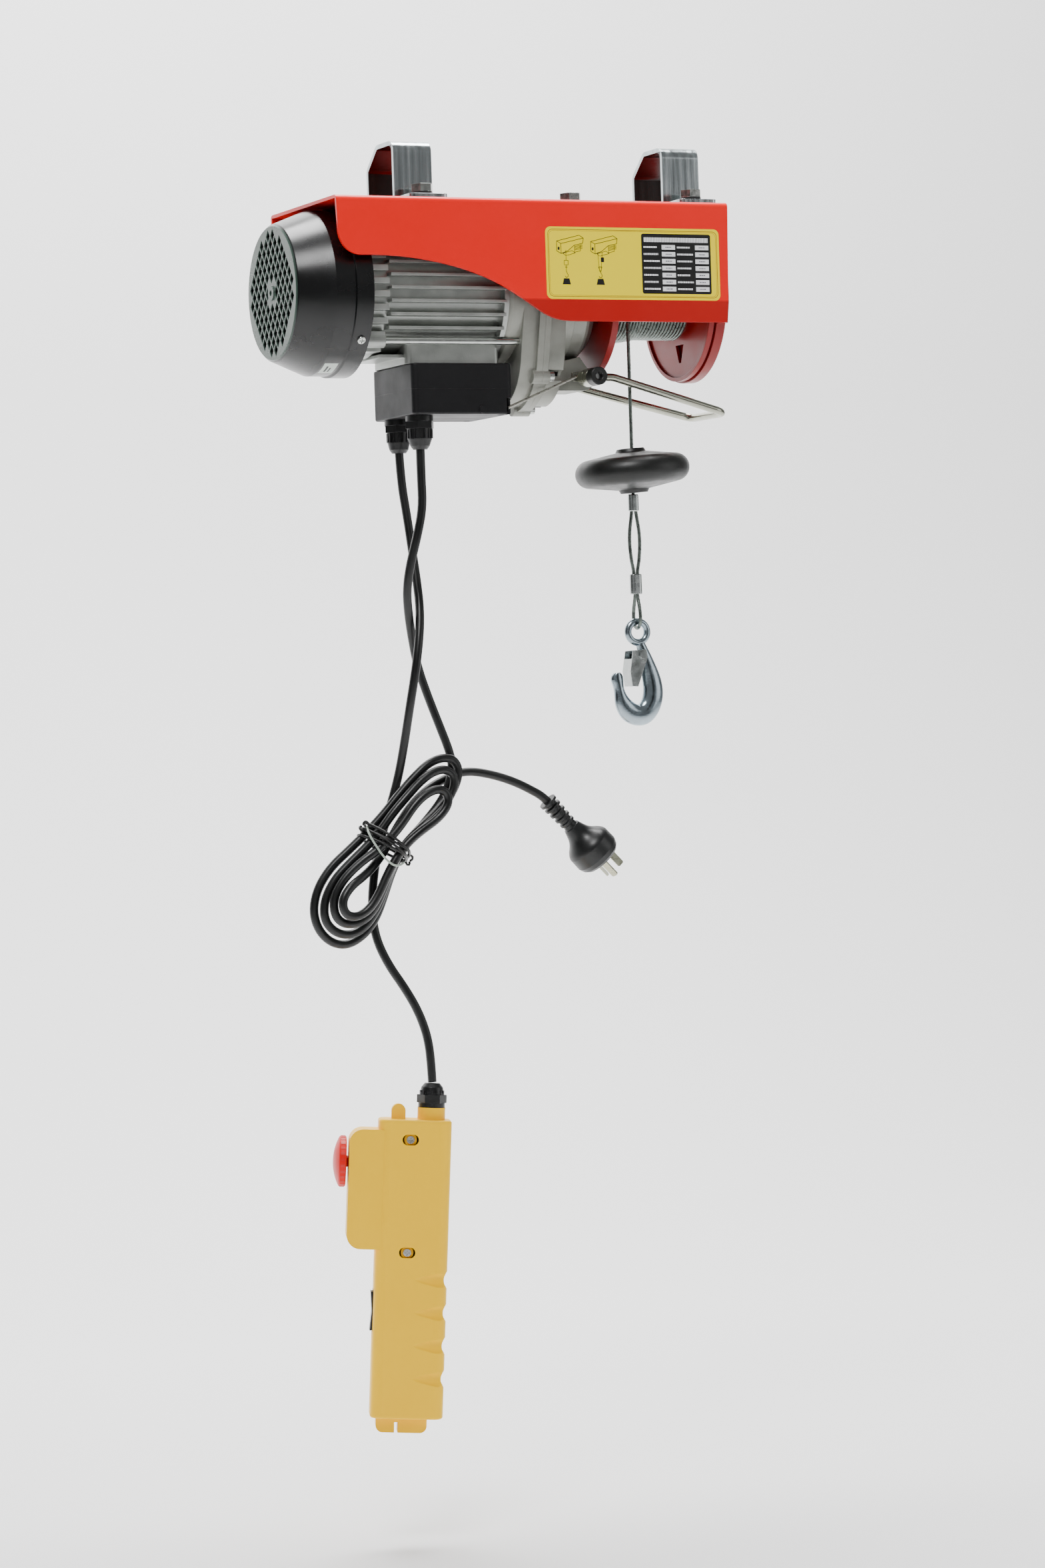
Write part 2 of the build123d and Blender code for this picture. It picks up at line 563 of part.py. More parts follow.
def make_winding():
    """Layers of rope on the drum, one scallop to a turn, heaped up where the rope leaves."""
    start = (DRUM_LEFT + 3 + DRUM_RIGHT - 3) / 2 - ROPE_TURNS * ROPE_D / 2
    base = DRUM_CORE_R + FIT
    edges = [Line((start, 0, base), (start, 0, turn_radius(start + ROPE_D / 2)))]
    for turn in range(ROPE_TURNS):
        x0 = start + turn * ROPE_D
        middle = x0 + ROPE_D / 2
        radius = turn_radius(middle)
        here = (x0, 0, radius)
        last = edges[-1] @ 1
        if abs(last.Z - radius) > 0.001:
            edges.append(Line(last, here))
        top = (middle, 0, radius + ROPE_D / 2)
        edges.append(ThreePointArc(here, top, (x0 + ROPE_D, 0, radius)))
    end = edges[-1] @ 1
    edges.append(Line(end, (end.X, 0, base)))
    edges.append(Line((end.X, 0, base), (start, 0, base)))
    winding = revolve(make_face(Wire(edges)), Axis.X)
    piece("rope_winding", Pos(0, 0, DRUM_Z) * winding)


def turn_radius(x):
    """Radius of the rope's centre line in the outer layer at the place x along the drum."""
    heap = max(0.0, math.cos(math.pi * (x - ROPE_X) / 44))
    return 30.7 + 2.9 * heap


def make_output():
    shaft = cyl_x(OUTPUT_R, 4, PLATE_X + 8, 0, DRUM_Z)
    piece("output_shaft", shaft)
    wheel = gear(OUTPUT_TEETH, STAGE2_MODULE, 0.75, 5, 16, OUTPUT_R + FIT, 0, DRUM_Z)
    piece("output_gear", wheel - ring_x(29, 16, 4, 7.5, 0, DRUM_Z))


def make_rope():
    """Hanging run, first ferrule, the double strand, second ferrule and the eye through the hook."""
    r = ROPE_D / 2
    piece("wire_rope_run", cyl_z(r, RUN_BOTTOM, DRUM_Z, ROPE_X, ROPE_Y))
    upper = oval_sleeve(9.6, 6.4, RUN_BOTTOM - 15, RUN_BOTTOM)
    lower = oval_sleeve(11, 7, FERRULE_2_BOTTOM, FERRULE_2_TOP)
    piece("rope_ferrules", group([upper, lower]))
    strands = []
    top, bottom = RUN_BOTTOM - 15, FERRULE_2_TOP
    for sign in (-1, 1):
        path = Spline(
            (sign * 1.7, 0, top), (sign * 4.6, 0, top - 18), (sign * 4.2, 0, top - 36), (sign * 1.7, 0, bottom),
        )
        strand = sweep(Plane(path @ 0, z_dir=path % 0) * Circle(r), path=path)
        strands.append(Pos(ROPE_X, ROPE_Y, 0) * strand)
    bend = 6.4
    path = Spline(
        (0, -1.7, FERRULE_2_BOTTOM), (0, -bend, SWING_Z + bend), (0, 0, SWING_Z), (0, bend, SWING_Z + bend),
        (0, 1.7, FERRULE_2_BOTTOM),
    )
    eye = sweep(Plane(path @ 0, z_dir=path % 0) * Circle(r), path=path)
    strands.append(Pos(ROPE_X, ROPE_Y, 0) * eye)
    strands = [s - upper - lower for s in strands]
    piece("rope_loop", group(strands))


def oval_sleeve(width, depth, z0, z1):
    """Pressed ferrule: a flat-sided oval sleeve with softened ends."""
    outline = SlotOverall(width, depth)
    sleeve = extrude(outline, amount=z1 - z0)
    sleeve = chamfer(sleeve.faces().sort_by(Axis.Z)[-1].edges(), 0.7)
    sleeve = chamfer(sleeve.faces().sort_by(Axis.Z)[0].edges(), 0.7)
    return Pos(ROPE_X, ROPE_Y, z0) * sleeve


def make_weight():
    """Rubber limit disc that rides on the rope above the first ferrule."""
    half = 19.5
    profile = Polyline((5, half - 1), (6, half), (12, half), (13.5, 16.5), (40, 12.2))
    edge = ThreePointArc((40, 12.2), (DISC_R, 0), (40, -12.2))
    lower = Polyline((40, -12.2), (13.5, -16.5), (12, -half), (6, -half), (5, -half + 1), (5, half - 1))
    face = make_face(Wire(list(profile.edges()) + [edge] + list(lower.edges())))
    disc = revolve(Plane.XZ * face, Axis.Z)
    piece("limit_weight", Pos(ROPE_X, ROPE_Y, DISC_Z) * Rot(0, -DISC_TILT, 0) * disc)


def make_hook():
    """Forged eye hook: a ring, a neck and a tapering bowl lofted through oval sections."""
    ring = Pos(ROPE_X, ROPE_Y, EYE_Z) * Rot(90, 0, 0) * Torus(9.2, 3.1)
    line = [
        # x and z of the centre line, width in the plane, thickness across it
        (71.3, -384.5, 8.5, 7.5),
        (73.8, -391.0, 10.0, 9.0),
        (78.2, -405.0, 14.5, 11.0),
        (82.0, -421.0, 18.0, 12.5),
        (80.5, -436.0, 19.0, 13.0),
        (71.5, -446.3, 19.4, 13.0),
        (59.5, -444.5, 18.5, 12.0),
        (51.8, -434.5, 14.0, 10.5),
        (48.6, -421.0, 9.6, 9.0),
        (47.4, -409.5, 5.6, 7.5),
    ]
    sections = []
    for i, (x, z, width, thick) in enumerate(line):
        before = line[max(i - 1, 0)]
        after = line[min(i + 1, len(line) - 1)]
        along = Vector(after[0] - before[0], 0, after[1] - before[1]).normalized()
        plane = Plane(origin=(x, ROPE_Y, z), x_dir=(0, 1, 0), z_dir=along)
        sections.append(plane * Ellipse(thick / 2, width / 2))
    bowl = loft(sections)
    pad = cyl_y(4.6, ROPE_Y - 5.2, ROPE_Y + 5.2, LATCH_X, LATCH_Z)
    hook = ring + bowl + pad
    hook = hook - cyl_y(1.8, ROPE_Y - 12, ROPE_Y + 12, LATCH_X, LATCH_Z)
    piece("load_hook", hook)


LATCH_X = 69.6
LATCH_Z = -394.6


def make_latch():
    """Folded sheet latch that closes the hook's mouth from inside, and its pin."""
    outline = [(LATCH_X - 9.5, LATCH_Z + 4), (LATCH_X + 3.5, LATCH_Z + 5), (LATCH_X + 4.5, LATCH_Z - 2),
               (LATCH_X - 5.4, LATCH_Z - 27.5), (LATCH_X - 10.8, LATCH_Z - 27), (LATCH_X - 12.4, LATCH_Z - 14)]
    outer = prism_y(outline, ROPE_Y - 8.4, ROPE_Y + 8.4)
    inner = prism_y([(x + 1.2, z) for x, z in outline], ROPE_Y - 7.4, ROPE_Y + 7.4)
    opening = block(LATCH_X - 2, LATCH_X + 20, ROPE_Y - 7.4, ROPE_Y + 7.4, LATCH_Z - 40, LATCH_Z + 20)
    latch = outer - inner - opening
    latch = latch - block(LATCH_X - 20, LATCH_X - 2, ROPE_Y - 7.4, ROPE_Y + 7.4, LATCH_Z - 3, LATCH_Z + 20)
    latch = latch - cyl_y(2.0 + FIT, ROPE_Y - 12, ROPE_Y + 12, LATCH_X, LATCH_Z)
    piece("hook_latch", latch)
    pin = cyl_y(1.75, ROPE_Y - 7, ROPE_Y + 7, LATCH_X, LATCH_Z)
    pin = cyl_y(2.0, ROPE_Y - 8.6, ROPE_Y - 6.0, LATCH_X, LATCH_Z) + pin
    pin = pin + cyl_y(2.0, ROPE_Y + 6.0, ROPE_Y + 8.6, LATCH_X, LATCH_Z)
    pin = pin + cyl_y(3.4, ROPE_Y - 10.0, ROPE_Y - 8.6, LATCH_X, LATCH_Z)
    pin = pin + cyl_y(3.4, ROPE_Y + 8.6, ROPE_Y + 10.0, LATCH_X, LATCH_Z)
    piece("latch_pin", pin)


# ---------------------------------------------------------------- limit lever
def make_lever():
    """Bent rod that straddles the rope; the limit disc lifts it and it pulls the switch rod."""
    knee = LEVER_X + 20
    path = FilletPolyline(
        (LEVER_X, LEVER_NEAR, LEVER_Z), (knee, LEVER_NEAR, LEVER_Z), (LEVER_END_X, LEVER_NEAR, LEVER_END_Z),
        (LEVER_END_X, LEVER_FAR, LEVER_END_Z), (LEVER_X, LEVER_FAR, LEVER_Z),
        radius=[20, 9, 9],
    )
    start = Plane(path @ 0, z_dir=path % 0)
    bail = sweep(start * Circle(LEVER_ROD_R), path=path)
    near_collar = cyl_y(8, LEVER_NEAR - 4.5, LEVER_NEAR + 4.5, LEVER_X, LEVER_Z)
    far_collar = cyl_y(7, LEVER_FAR - 4.5, LEVER_FAR + 4.5, LEVER_X, LEVER_Z)
    bail = bail + near_collar + far_collar
    arm = prism_y([(ROD_ARM_X - 3.5, ROD_ARM_Z - 3.5), (ROD_ARM_X - 3.5, ROD_ARM_Z + 3.5),
                   (LEVER_X, LEVER_Z + 6), (LEVER_X, LEVER_Z - 6)], -41.5, -38.8)
    hub = cyl_y(8, -41.5, -36, LEVER_X, LEVER_Z)
    arm = arm + cyl_y(3.8, -41.5, -38.8, ROD_ARM_X, ROD_ARM_Z) + hub
    arm = arm - cyl_y(1.35, -60, 0, ROD_ARM_X, ROD_ARM_Z)
    piece("limit_lever", bail + arm - cyl_y(4.02, -80, 60, LEVER_X, LEVER_Z))
    cap = cyl_y(7.9, -62, -50.7, LEVER_X, LEVER_Z) - cyl_y(4.02, -61, -50, LEVER_X, LEVER_Z)
    cap = cap - cyl_y(3.2, -64, -60, LEVER_X, LEVER_Z)
    cap = chamfer(cap.faces().sort_by(Axis.Y)[0].edges(), 0.8)
    ring = cyl_y(6, 24.6, 27, LEVER_X, LEVER_Z) - cyl_y(4.02, 20, 30, LEVER_X, LEVER_Z)
    piece("lever_end_cap", cap)
    piece("lever_shaft", group([cyl_y(4, -58, 27, LEVER_X, LEVER_Z), ring]))
    spring = cyl_y(7.2, 10.4, 15.2, LEVER_X, LEVER_Z) - cyl_y(5.2, 9, 17, LEVER_X, LEVER_Z)
    leg = block(LEVER_X + 5.6, LEVER_X + 11, 13.2, 15, LEVER_Z + 2.8, LEVER_Z + 4.6)
    piece("lever_spring", spring + leg)


def make_switch_rod():
    """Thin wire rod from the lever's arm down to the limit switch in the box."""
    hook_y = -43.0
    end_z = ROD_ARM_Z + (ROD_END_X - ROD_ARM_X) * ROD_SLOPE
    path = FilletPolyline(
        (ROD_ARM_X, -37.0, ROD_ARM_Z), (ROD_ARM_X, hook_y, ROD_ARM_Z),
        (ROD_END_X, hook_y, end_z),
        radius=[1.8],
    )
    rod = sweep(Plane(path @ 0, z_dir=path % 0) * Circle(1.25), path=path)
    piece("switch_rod", rod)


# ---------------------------------------------------------------- switch box
def make_switch_box():
    """Two-part moulded box: base against the motor pad, lid below the seam."""
    def shell(z0, z1):
        outer = block(BOX_LEFT, BOX_RIGHT, -BOX_HALF, BOX_HALF, z0, z1)
        outer = fillet(outer.edges().filter_by(Axis.Z), 5)
        inner = block(BOX_LEFT + BOX_WALL, BOX_RIGHT - BOX_WALL, -BOX_HALF + BOX_WALL, BOX_HALF - BOX_WALL, z0, z1)
        inner = fillet(inner.edges().filter_by(Axis.Z), 3)
        return outer, inner

    outer, inner = shell(BOX_SEAM, BOX_TOP)
    outer = fillet(outer.faces().sort_by(Axis.Z)[-1].edges(), 1.5)
    base = outer - Pos(0, 0, -BOX_WALL) * inner
    outer, inner = shell(BOX_BOTTOM, BOX_SEAM - 0.05)
    outer = fillet(outer.faces().sort_by(Axis.Z)[0].edges(), 2)
    lid = outer - Pos(0, 0, BOX_WALL) * inner
    for x in (BOX_LEFT + 8.5, BOX_RIGHT - 8.5):
        for y in (-BOX_HALF + 8.5, BOX_HALF - 8.5):
            base = base + cyl_z(4.5, BOX_SEAM, BOX_TOP - 1, x, y) - cyl_z(1.5, BOX_SEAM - 1, BOX_TOP - 4, x, y)
            lid = lid + cyl_z(4.5, BOX_BOTTOM + 1, BOX_SEAM - 0.05, x, y) - cyl_z(1.7, BOX_BOTTOM - 1, BOX_SEAM, x, y)
            lid = lid - cyl_z(3.4, BOX_BOTTOM - 1, BOX_BOTTOM + 2.5, x, y)
    lid = lid + cyl_y(3.3, -BOX_HALF - 1.2, -BOX_HALF + 2, -76.5, BOX_BOTTOM + 4.2)
    for y in (-GLAND_Y, GLAND_Y):
        lid = lid - cyl_z(8.05, BOX_BOTTOM - 1, BOX_BOTTOM + 4, GLAND_X, y)
    lid = lid - block(BOX_RIGHT - 6, BOX_RIGHT + 2, -46, -39.8, -183, -169)
    piece("switch_box_base", base)
    piece("switch_box_lid", lid)
    screws = []
    for x in (BOX_LEFT + 8.5, BOX_RIGHT - 8.5):
        for y in (-BOX_HALF + 8.5, BOX_HALF - 8.5):
            head = cyl_z(3.2, BOX_BOTTOM + 0.6, BOX_BOTTOM + 2.5, x, y)
            screws.append(head + cyl_z(1.45, BOX_BOTTOM + 2.5, BOX_TOP - 8, x, y))
    piece("box_screws", group(screws))


def make_box_contents():
    """Run capacitor, limit switch and terminal block behind the lid."""
    capacitor = cyl_x(14.5, -115, -63, 20, -160)
    capacitor = capacitor + cyl_x(2, -118, -115, 14, -160) + cyl_x(2, -118, -115, 26, -160)
    piece("run_capacitor", capacitor)
    switch = block(-80, -60, -34, -24, -178, -160)
    switch = switch + block(-76, -73, -36, -34, -172, -166)
    piece("limit_switch", switch)
    terminal = block(-118, -88, -22, -8, -158, -146)
    for k in range(4):
        terminal = terminal - cyl_z(2.2, -152, -140, -114 + 7.3 * k, -15)
    piece("terminal_block", terminal)


def make_gland(top, slim):
    """Cable gland hanging down from top: thread, hexagon, and a domed clamping nut."""
    collar = cyl_z(12, top - 5, top)
    thread = cyl_z(8, top - 1, top + 3)
    hexagon = Pos(0, 0, top - 11) * extrude(RegularPolygon(11.4 - slim, 6, major_radius=False), amount=6.2)
    nut = spin_z([(0, top - GLAND_LENGTH), (6.2, top - GLAND_LENGTH), (8.4, top - 26), (10.6 - slim, top - 20),
                  (11 - slim, top - 11), (0, top - 11)])
    return collar + thread + hexagon + nut - cyl_z(CORD_R, top - 40, top + 10)


def make_glands():
    near = Pos(GLAND_X, -GLAND_Y, 0) * make_gland(BOX_BOTTOM, 0)
    far = Pos(GLAND_X, GLAND_Y, 0) * make_gland(BOX_BOTTOM, 0.8)
    piece("cable_glands", group([near, far, make_handset_gland()]))


# ---------------------------------------------------------------- cords
def cord(name, route):
    """Round cord: straight runs joined by the widest tangent arcs that the runs allow."""
    points = [Vector(*p) for p in route]
    radii = []
    for before, here, after in zip(points, points[1:], points[2:]):
        turn = (here - before).get_angle(after - here)
        short = min((here - before).length, (after - here).length)
        radii.append(0.45 * short / math.tan(math.radians(turn / 2)))
    path = FilletPolyline(*points, radius=radii)
    tube = sweep(Plane(path @ 0, z_dir=path % 0) * Circle(CORD_R), path=path)
    section = math.pi * CORD_R ** 2
    print(name, "length", round(path.length, 1), "volume ratio", round(tube.volume / (section * path.length), 3))
    print("   radii", [round(r) for r in radii], "smallest", round(min(radii), 1))
    return tube


POWER_ROUTE = [
    (-127, -24, -212), (-127, -24, -236), (-126, -23, -262), (-132, -22, -288), (-138.5, -19, -313),
    (-139.5, -13, -334), (-135, -4.5, -354), (-128.5, 4.5, -375), (-122, 9.5, -400), (-113, 8.5, -427),
    (-104.5, 3.5, -452), (-98.5, -4, -472), (-96, -10, -488),
]
TAIL_ROUTE = [
    (-100, -12, -496), (-79, -12, -492), (-54, -12, -497), (-31, -12, -507), PLUG_AT,
]
PENDANT_ROUTE = [
    (-127, 24, -212), (-126, 24, -237), (-123.5, 19.5, -266), (-122, 13, -299), (-121.5, 6, -326),
    (-123.5, -3.5, -349), (-128.5, -12.5, -372), (-134.5, -16.5, -400), (-139.5, -11, -435),
    (-141.5, 0, -468), (-145, 8, -497), (-154.5, 10.5, -527), (-164.5, 10.5, -556), (-170.5, 9.5, -583), (-172.5, 10, -609), (-171, 7, -633),
    (-163, 0, -656), (-151.5, -7, -676), (-142, -13, -696), (-136, -17.5, -717), (-134, -20, -738),
    (-133.5, -20, -758.7),
]
HANK_OUTLINE = [
    (-94, -478), (-92, -496), (-102, -516), (-128, -551), (-143, -564), (-151, -576), (-160, -600),
    (-174, -627), (-189, -640), (-207, -643), (-224, -633), (-235, -615), (-232, -591), (-215, -563),
    (-184, -538), (-168, -526), (-151, -502), (-126, -484), (-108, -477),
]


def make_cords():
    """Mains cord with its tied hank and tail, and the cord of the hand control."""
    outline = Spline(*[(x, HANK_FRONT, z) for x, z in HANK_OUTLINE], periodic=True)
    hank = extrude(make_face(outline), amount=HANK_BACK - HANK_FRONT, dir=(0, 1, 0))
    piece("power_cord_hank", hank)
    piece("power_cord", cord("power_cord", POWER_ROUTE) - hank)
    piece("power_cord_tail", cord("power_cord_tail", TAIL_ROUTE) - hank - pieces["plug_body"])
    piece("pendant_cord", cord("pendant_cord", PENDANT_ROUTE))
    across = Plane(origin=(-164, -6, -551), x_dir=(0.822, 0, -0.569), z_dir=(0.569, 0, 0.822))
    band = extrude(RectangleRounded(66, 48, 12) - RectangleRounded(62, 44, 10), amount=2.5, both=True)
    piece("cord_tie", across * band)


def make_plug():
    """Moulded plug with three flat pins; the ribbed sleeve is the cord's strain relief."""
    rings = [(0, 0), (8.3, 0), (8.3, 2.4), (5.6, 3.4)]
    for k in range(4):
        z = 5.2 + 6.4 * k
        rings += [(5.8, z), (8.0 - 0.3 * k, z + 0.8), (8.0 - 0.3 * k, z + 3.0), (5.8, z + 3.9)]
    rings += [(6.4, 32), (0, 32)]
    sleeve = spin_z(rings)
    outline = Polyline((0, 32), (7.5, 32), (9.5, 38))
    side = Spline((9.5, 38), (14.5, 46.5), (21, 55), tangents=[(0.3, 1), (0.3, 1)])
    face = Polyline((21, 55), (21.2, 66), (19.5, 70.5), (17, 73), (0, 73), (0, 32))
    profile = make_face(Wire(list(outline.edges()) + [side] + list(face.edges())))
    body = revolve(Plane.XZ * profile, Axis.Z)
    pins = []
    for x, y, turn in ((-7.9, 3.5, 30), (7.9, 3.5, -30), (0, -9.5, 90)):
        blade = block(-3.15, 3.15, -0.8, 0.8, 66, 90.5)
        blade = chamfer(blade.faces().sort_by(Axis.Z)[-1].edges().filter_by(Axis.Y), 1.0)
        pins.append(Pos(x, y, 0) * Rot(0, 0, turn) * blade)
    for blade in pins:
        body = body - blade
    along = (math.cos(math.radians(PLUG_DROP)), 0, -math.sin(math.radians(PLUG_DROP)))
    seat = Plane(origin=PLUG_AT, x_dir=(0, -1, 0), z_dir=along)
    bore = cyl_z(CORD_R, -1, 0)
    piece("plug_body", seat * (sleeve - bore + body))
    piece("plug_pins", seat * group(pins))


# ---------------------------------------------------------------- hand control
def handset_place(shape):
    """Move from the hand control's own frame (origin at the top of its body) to the hoist's."""
    return Pos(*HANDSET_AT) * Rot(0, HANDSET_LEAN, 0) * Rot(0, 0, HANDSET_TURN) * shape


def handset_outer(grow):
    """Outer form of the hand control, or its cavity when grow is negative."""
    w, d = HANDSET_W / 2 + grow, HANDSET_D / 2 + grow
    body = block(-w, w, -d, d, -HANDSET_L - grow, grow)
    body = fillet(body.edges().filter_by(Axis.Z), 10 + grow)
    ends = body.faces().filter_by(Axis.Z).edges() if grow == 0 else []
    if grow == 0:
        body = fillet(ends, 2.2)
    return body


def handset_block(grow):
    """Raised housing of the emergency stop on the thumb side."""
    d = HANDSET_D / 2 - 1.5 + grow
    left = -HANDSET_W / 2 - 25 - grow
    bulge = block(left, -8, -d, d, -112 - grow, -9 + grow)
    long_edges = [e for e in bulge.edges().filter_by(Axis.Y) if e.center().X < left + 1]
    bulge = fillet(long_edges, 12 + grow)
    return bulge


def make_handset():
    """Two moulded halves around the switch parts, finger grooves on the far edge."""
    solid = handset_outer(0) + handset_block(0)
    solid = solid + cyl_z(12, -3, 10.5, STUB_X, 0)
    lug = cyl_y(6, -6, 6, -14.5, 7) + block(-20.5, -8.5, -6, 6, -3, 7)
    solid = solid + lug
    foot = block(-26, 18, -9, 9, -HANDSET_L - 13, -HANDSET_L + 3)
    foot = fillet([e for e in foot.edges().filter_by(Axis.Y) if e.center().Z < -HANDSET_L], 6)
    notch = block(-10, -7, -10, 10, -HANDSET_L - 20, -HANDSET_L - 4)
    solid = solid + (foot - notch)
    for groove in FINGER_GROOVES:
        across = cyl_y(11, -40, 40, HANDSET_W / 2 + 8, groove)
        solid = solid - across
        for side in (-1, 1):
            scoop = Rot(0, 90, 0) * Cone(0.5, 8.5, 38)
            scoop = Pos(HANDSET_W / 2 - 17, side * (HANDSET_D / 2 + 2.2), groove) * scoop
            solid = solid - scoop
    cavity = handset_outer(-HANDSET_WALL) + handset_block(-HANDSET_WALL)
    cavity = cavity - block(HANDSET_W / 2 - 20, 60, -40, 40, -240, -120)
    solid = solid - cavity
    solid = solid - cyl_z(8.1, -10, 20, STUB_X, 0)
    solid = solid - cyl_x(8.2, -90, -40, 0, ESTOP_Z)
    solid = solid - block(-40, -20, -8.2, 8.2, ROCKER_Z - 18.2, ROCKER_Z + 18.2)
    for z in SHELL_SCREWS:
        post = cyl_y(5.5, -HANDSET_D / 2 + 1, HANDSET_D / 2 - 1, -4, z)
        solid = solid + post
        recess = Pos(-4, -HANDSET_D / 2 + 4, z) * Rot(90, 0, 0) * extrude(SlotOverall(14, 9.2), amount=10)
        solid = solid - recess
        solid = solid - cyl_y(1.9, -30, HANDSET_D / 2 - 6, -4, z)
    near = solid & block(-100, 100, -60, -0.03, -300, 40)
    far = solid & block(-100, 100, 0.03, 60, -300, 40)
    piece("handset_shell_near", handset_place(near))
    piece("handset_shell_far", handset_place(far))
    screws = []
    for z in SHELL_SCREWS:
        head = cyl_y(3.4, -HANDSET_D / 2 + 1.8, -HANDSET_D / 2 + 4, -4, z)
        cross = block(-6.2, -1.8, -HANDSET_D / 2, -HANDSET_D / 2 + 2.8, z - 0.4, z + 0.4)
        cross = cross + block(-4.4, -3.6, -HANDSET_D / 2, -HANDSET_D / 2 + 2.8, z - 2.2, z + 2.2)
        screws.append(head - cross + cyl_y(1.8, -HANDSET_D / 2 + 4, 10, -4, z))
    piece("handset_screws", handset_place(group(screws)))


FINGER_GROOVES = [-137.0 - 28.4 * k for k in range(4)]
SHELL_SCREWS = (-17.0, -114.0)
ESTOP_Z = -38.0
ESTOP_GAP = 2.2               # free space under the mushroom: travel of 2 mm and 0.2 mm left over
ROCKER_Z = -166.0


def make_handset_gland():
    """Gland standing on the hand control's stub."""
    collar = cyl_z(11.6, 10.55, 14.5)
    thread = cyl_z(8, 4, 11)
    hexagon = Pos(0, 0, 14.5) * extrude(RegularPolygon(11.2, 6, major_radius=False), amount=7)
    dome = spin_z([(0, 21.5), (10.4, 21.5), (10.4, 23), (9.4, 28), (6.5, 31.5), (0, 31.5)])
    gland = collar + thread + hexagon + dome - cyl_z(CORD_R, 0, 40)
    return handset_place(Pos(STUB_X, 0, 0) * gland)


def make_handset_controls():
    """Emergency stop mushroom on its plunger and contact block, and the up-down rocker."""
    face = -HANDSET_W / 2 - 25
    back = face - ESTOP_GAP
    cap_profile = Polyline((back, 0), (back, 21), (back - 0.8, 22), (back - 5.1, 22), (back - 6.2, 21))
    rise, reach = 5.0, 21
    crown_r = (rise ** 2 + reach ** 2) / (2 * rise)
    half_turn = math.asin(reach / crown_r) / 2
    crown_x = back - 11.2 + crown_r
    middle = (crown_x - crown_r * math.cos(half_turn), crown_r * math.sin(half_turn))
    dome = ThreePointArc((back - 6.2, reach), middle, (back - 11.2, 0))
    base = Line((back - 11.2, 0), (back, 0))
    outline = make_face(Wire(list(cap_profile.edges()) + [dome, base]))
    cap = revolve(outline, Axis.X)
    cap = cap - cyl_x(5.02, back - 3.4, face, 0, 0)
    cap = Pos(0, 0, ESTOP_Z) * cap
    piece("estop_button", handset_place(group([cap, cyl_x(5, back - 3.3, -26, 0, ESTOP_Z)])))
    contact = block(-19.5, 6, -13, 13, ESTOP_Z - 14, ESTOP_Z + 14)
    edge = -HANDSET_W / 2
    rocker = prism_y([(edge - 2.2, ROCKER_Z + 17), (edge - 0.9, ROCKER_Z), (edge - 2.2, ROCKER_Z - 17),
                      (edge + 4.5, ROCKER_Z - 15), (edge + 9, ROCKER_Z), (edge + 4.5, ROCKER_Z + 15)], -7.7, 7.7)
    axle = cyl_y(1.5, -9.5, 9.5, edge + 4.8, ROCKER_Z)
    piece("rocker_button", handset_place(rocker + axle))
    module = block(edge + 14, 10, -13, 13, ROCKER_Z - 20, ROCKER_Z + 20)
    for side in (-1, 1):
        low, high = sorted((side * 8.4, side * 13))
        cheek = block(edge + HANDSET_WALL + 0.3, edge + 15, low, high, ROCKER_Z - 16, ROCKER_Z + 16)
        module = module + (cheek - cyl_y(1.55, -20, 20, edge + 4.8, ROCKER_Z))
    piece("handset_switches", handset_place(group([contact, module])))


# ---------------------------------------------------------------- build and export
make_frame()
make_end_plate()
make_hangers()
make_frame_bolts()
make_nameplate()
make_motor_housing()
make_motor_end_shield()
make_tie_rods()
make_stator()
make_rotor()
make_bearings()
make_brake_coil()
make_fan_cover()
make_cover_screws()
make_idler()
make_gearbox()
make_drum()
make_winding()
make_output()
make_rope()
make_weight()
make_hook()
make_latch()
make_lever()
make_switch_rod()
make_switch_box()
make_box_contents()
make_glands()
make_plug()
make_cords()
make_handset()
make_handset_controls()

os.makedirs("parts", exist_ok=True)
for name, shape in pieces.items():
    export_step(shape, f"parts/{name}.step")
print(len(pieces), "nodes")
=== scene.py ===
"""Electric wire rope hoist: the visible pieces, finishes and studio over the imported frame."""
import math

import bpy
from mathutils import Matrix, Vector


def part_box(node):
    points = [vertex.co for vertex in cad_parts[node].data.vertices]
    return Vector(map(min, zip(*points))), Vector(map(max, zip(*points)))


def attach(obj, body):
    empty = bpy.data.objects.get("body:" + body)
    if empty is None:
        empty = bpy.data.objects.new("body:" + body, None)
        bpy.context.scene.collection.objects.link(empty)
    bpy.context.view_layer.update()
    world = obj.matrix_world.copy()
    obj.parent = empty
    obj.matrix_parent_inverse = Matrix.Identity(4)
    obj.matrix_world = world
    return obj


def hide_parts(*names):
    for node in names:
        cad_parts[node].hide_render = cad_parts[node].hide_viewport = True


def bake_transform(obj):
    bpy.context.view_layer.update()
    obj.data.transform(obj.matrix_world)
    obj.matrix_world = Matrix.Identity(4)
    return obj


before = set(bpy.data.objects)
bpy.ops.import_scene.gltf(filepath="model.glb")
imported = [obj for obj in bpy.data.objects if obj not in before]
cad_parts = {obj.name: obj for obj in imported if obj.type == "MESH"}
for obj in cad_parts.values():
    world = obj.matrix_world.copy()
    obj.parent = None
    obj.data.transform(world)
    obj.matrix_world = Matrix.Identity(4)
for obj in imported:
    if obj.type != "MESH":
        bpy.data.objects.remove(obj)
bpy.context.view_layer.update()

bl_info = {
    "name": "Electric Wire Rope Hoist",
    "version": (1, 0, 0),
    "blender": (4, 5, 0),
    "location": "View3D > Sidebar > Hoist",
    "description": "Cords, rope, print, ribs and finishes of an electric wire rope hoist",
    "category": "Object",
}

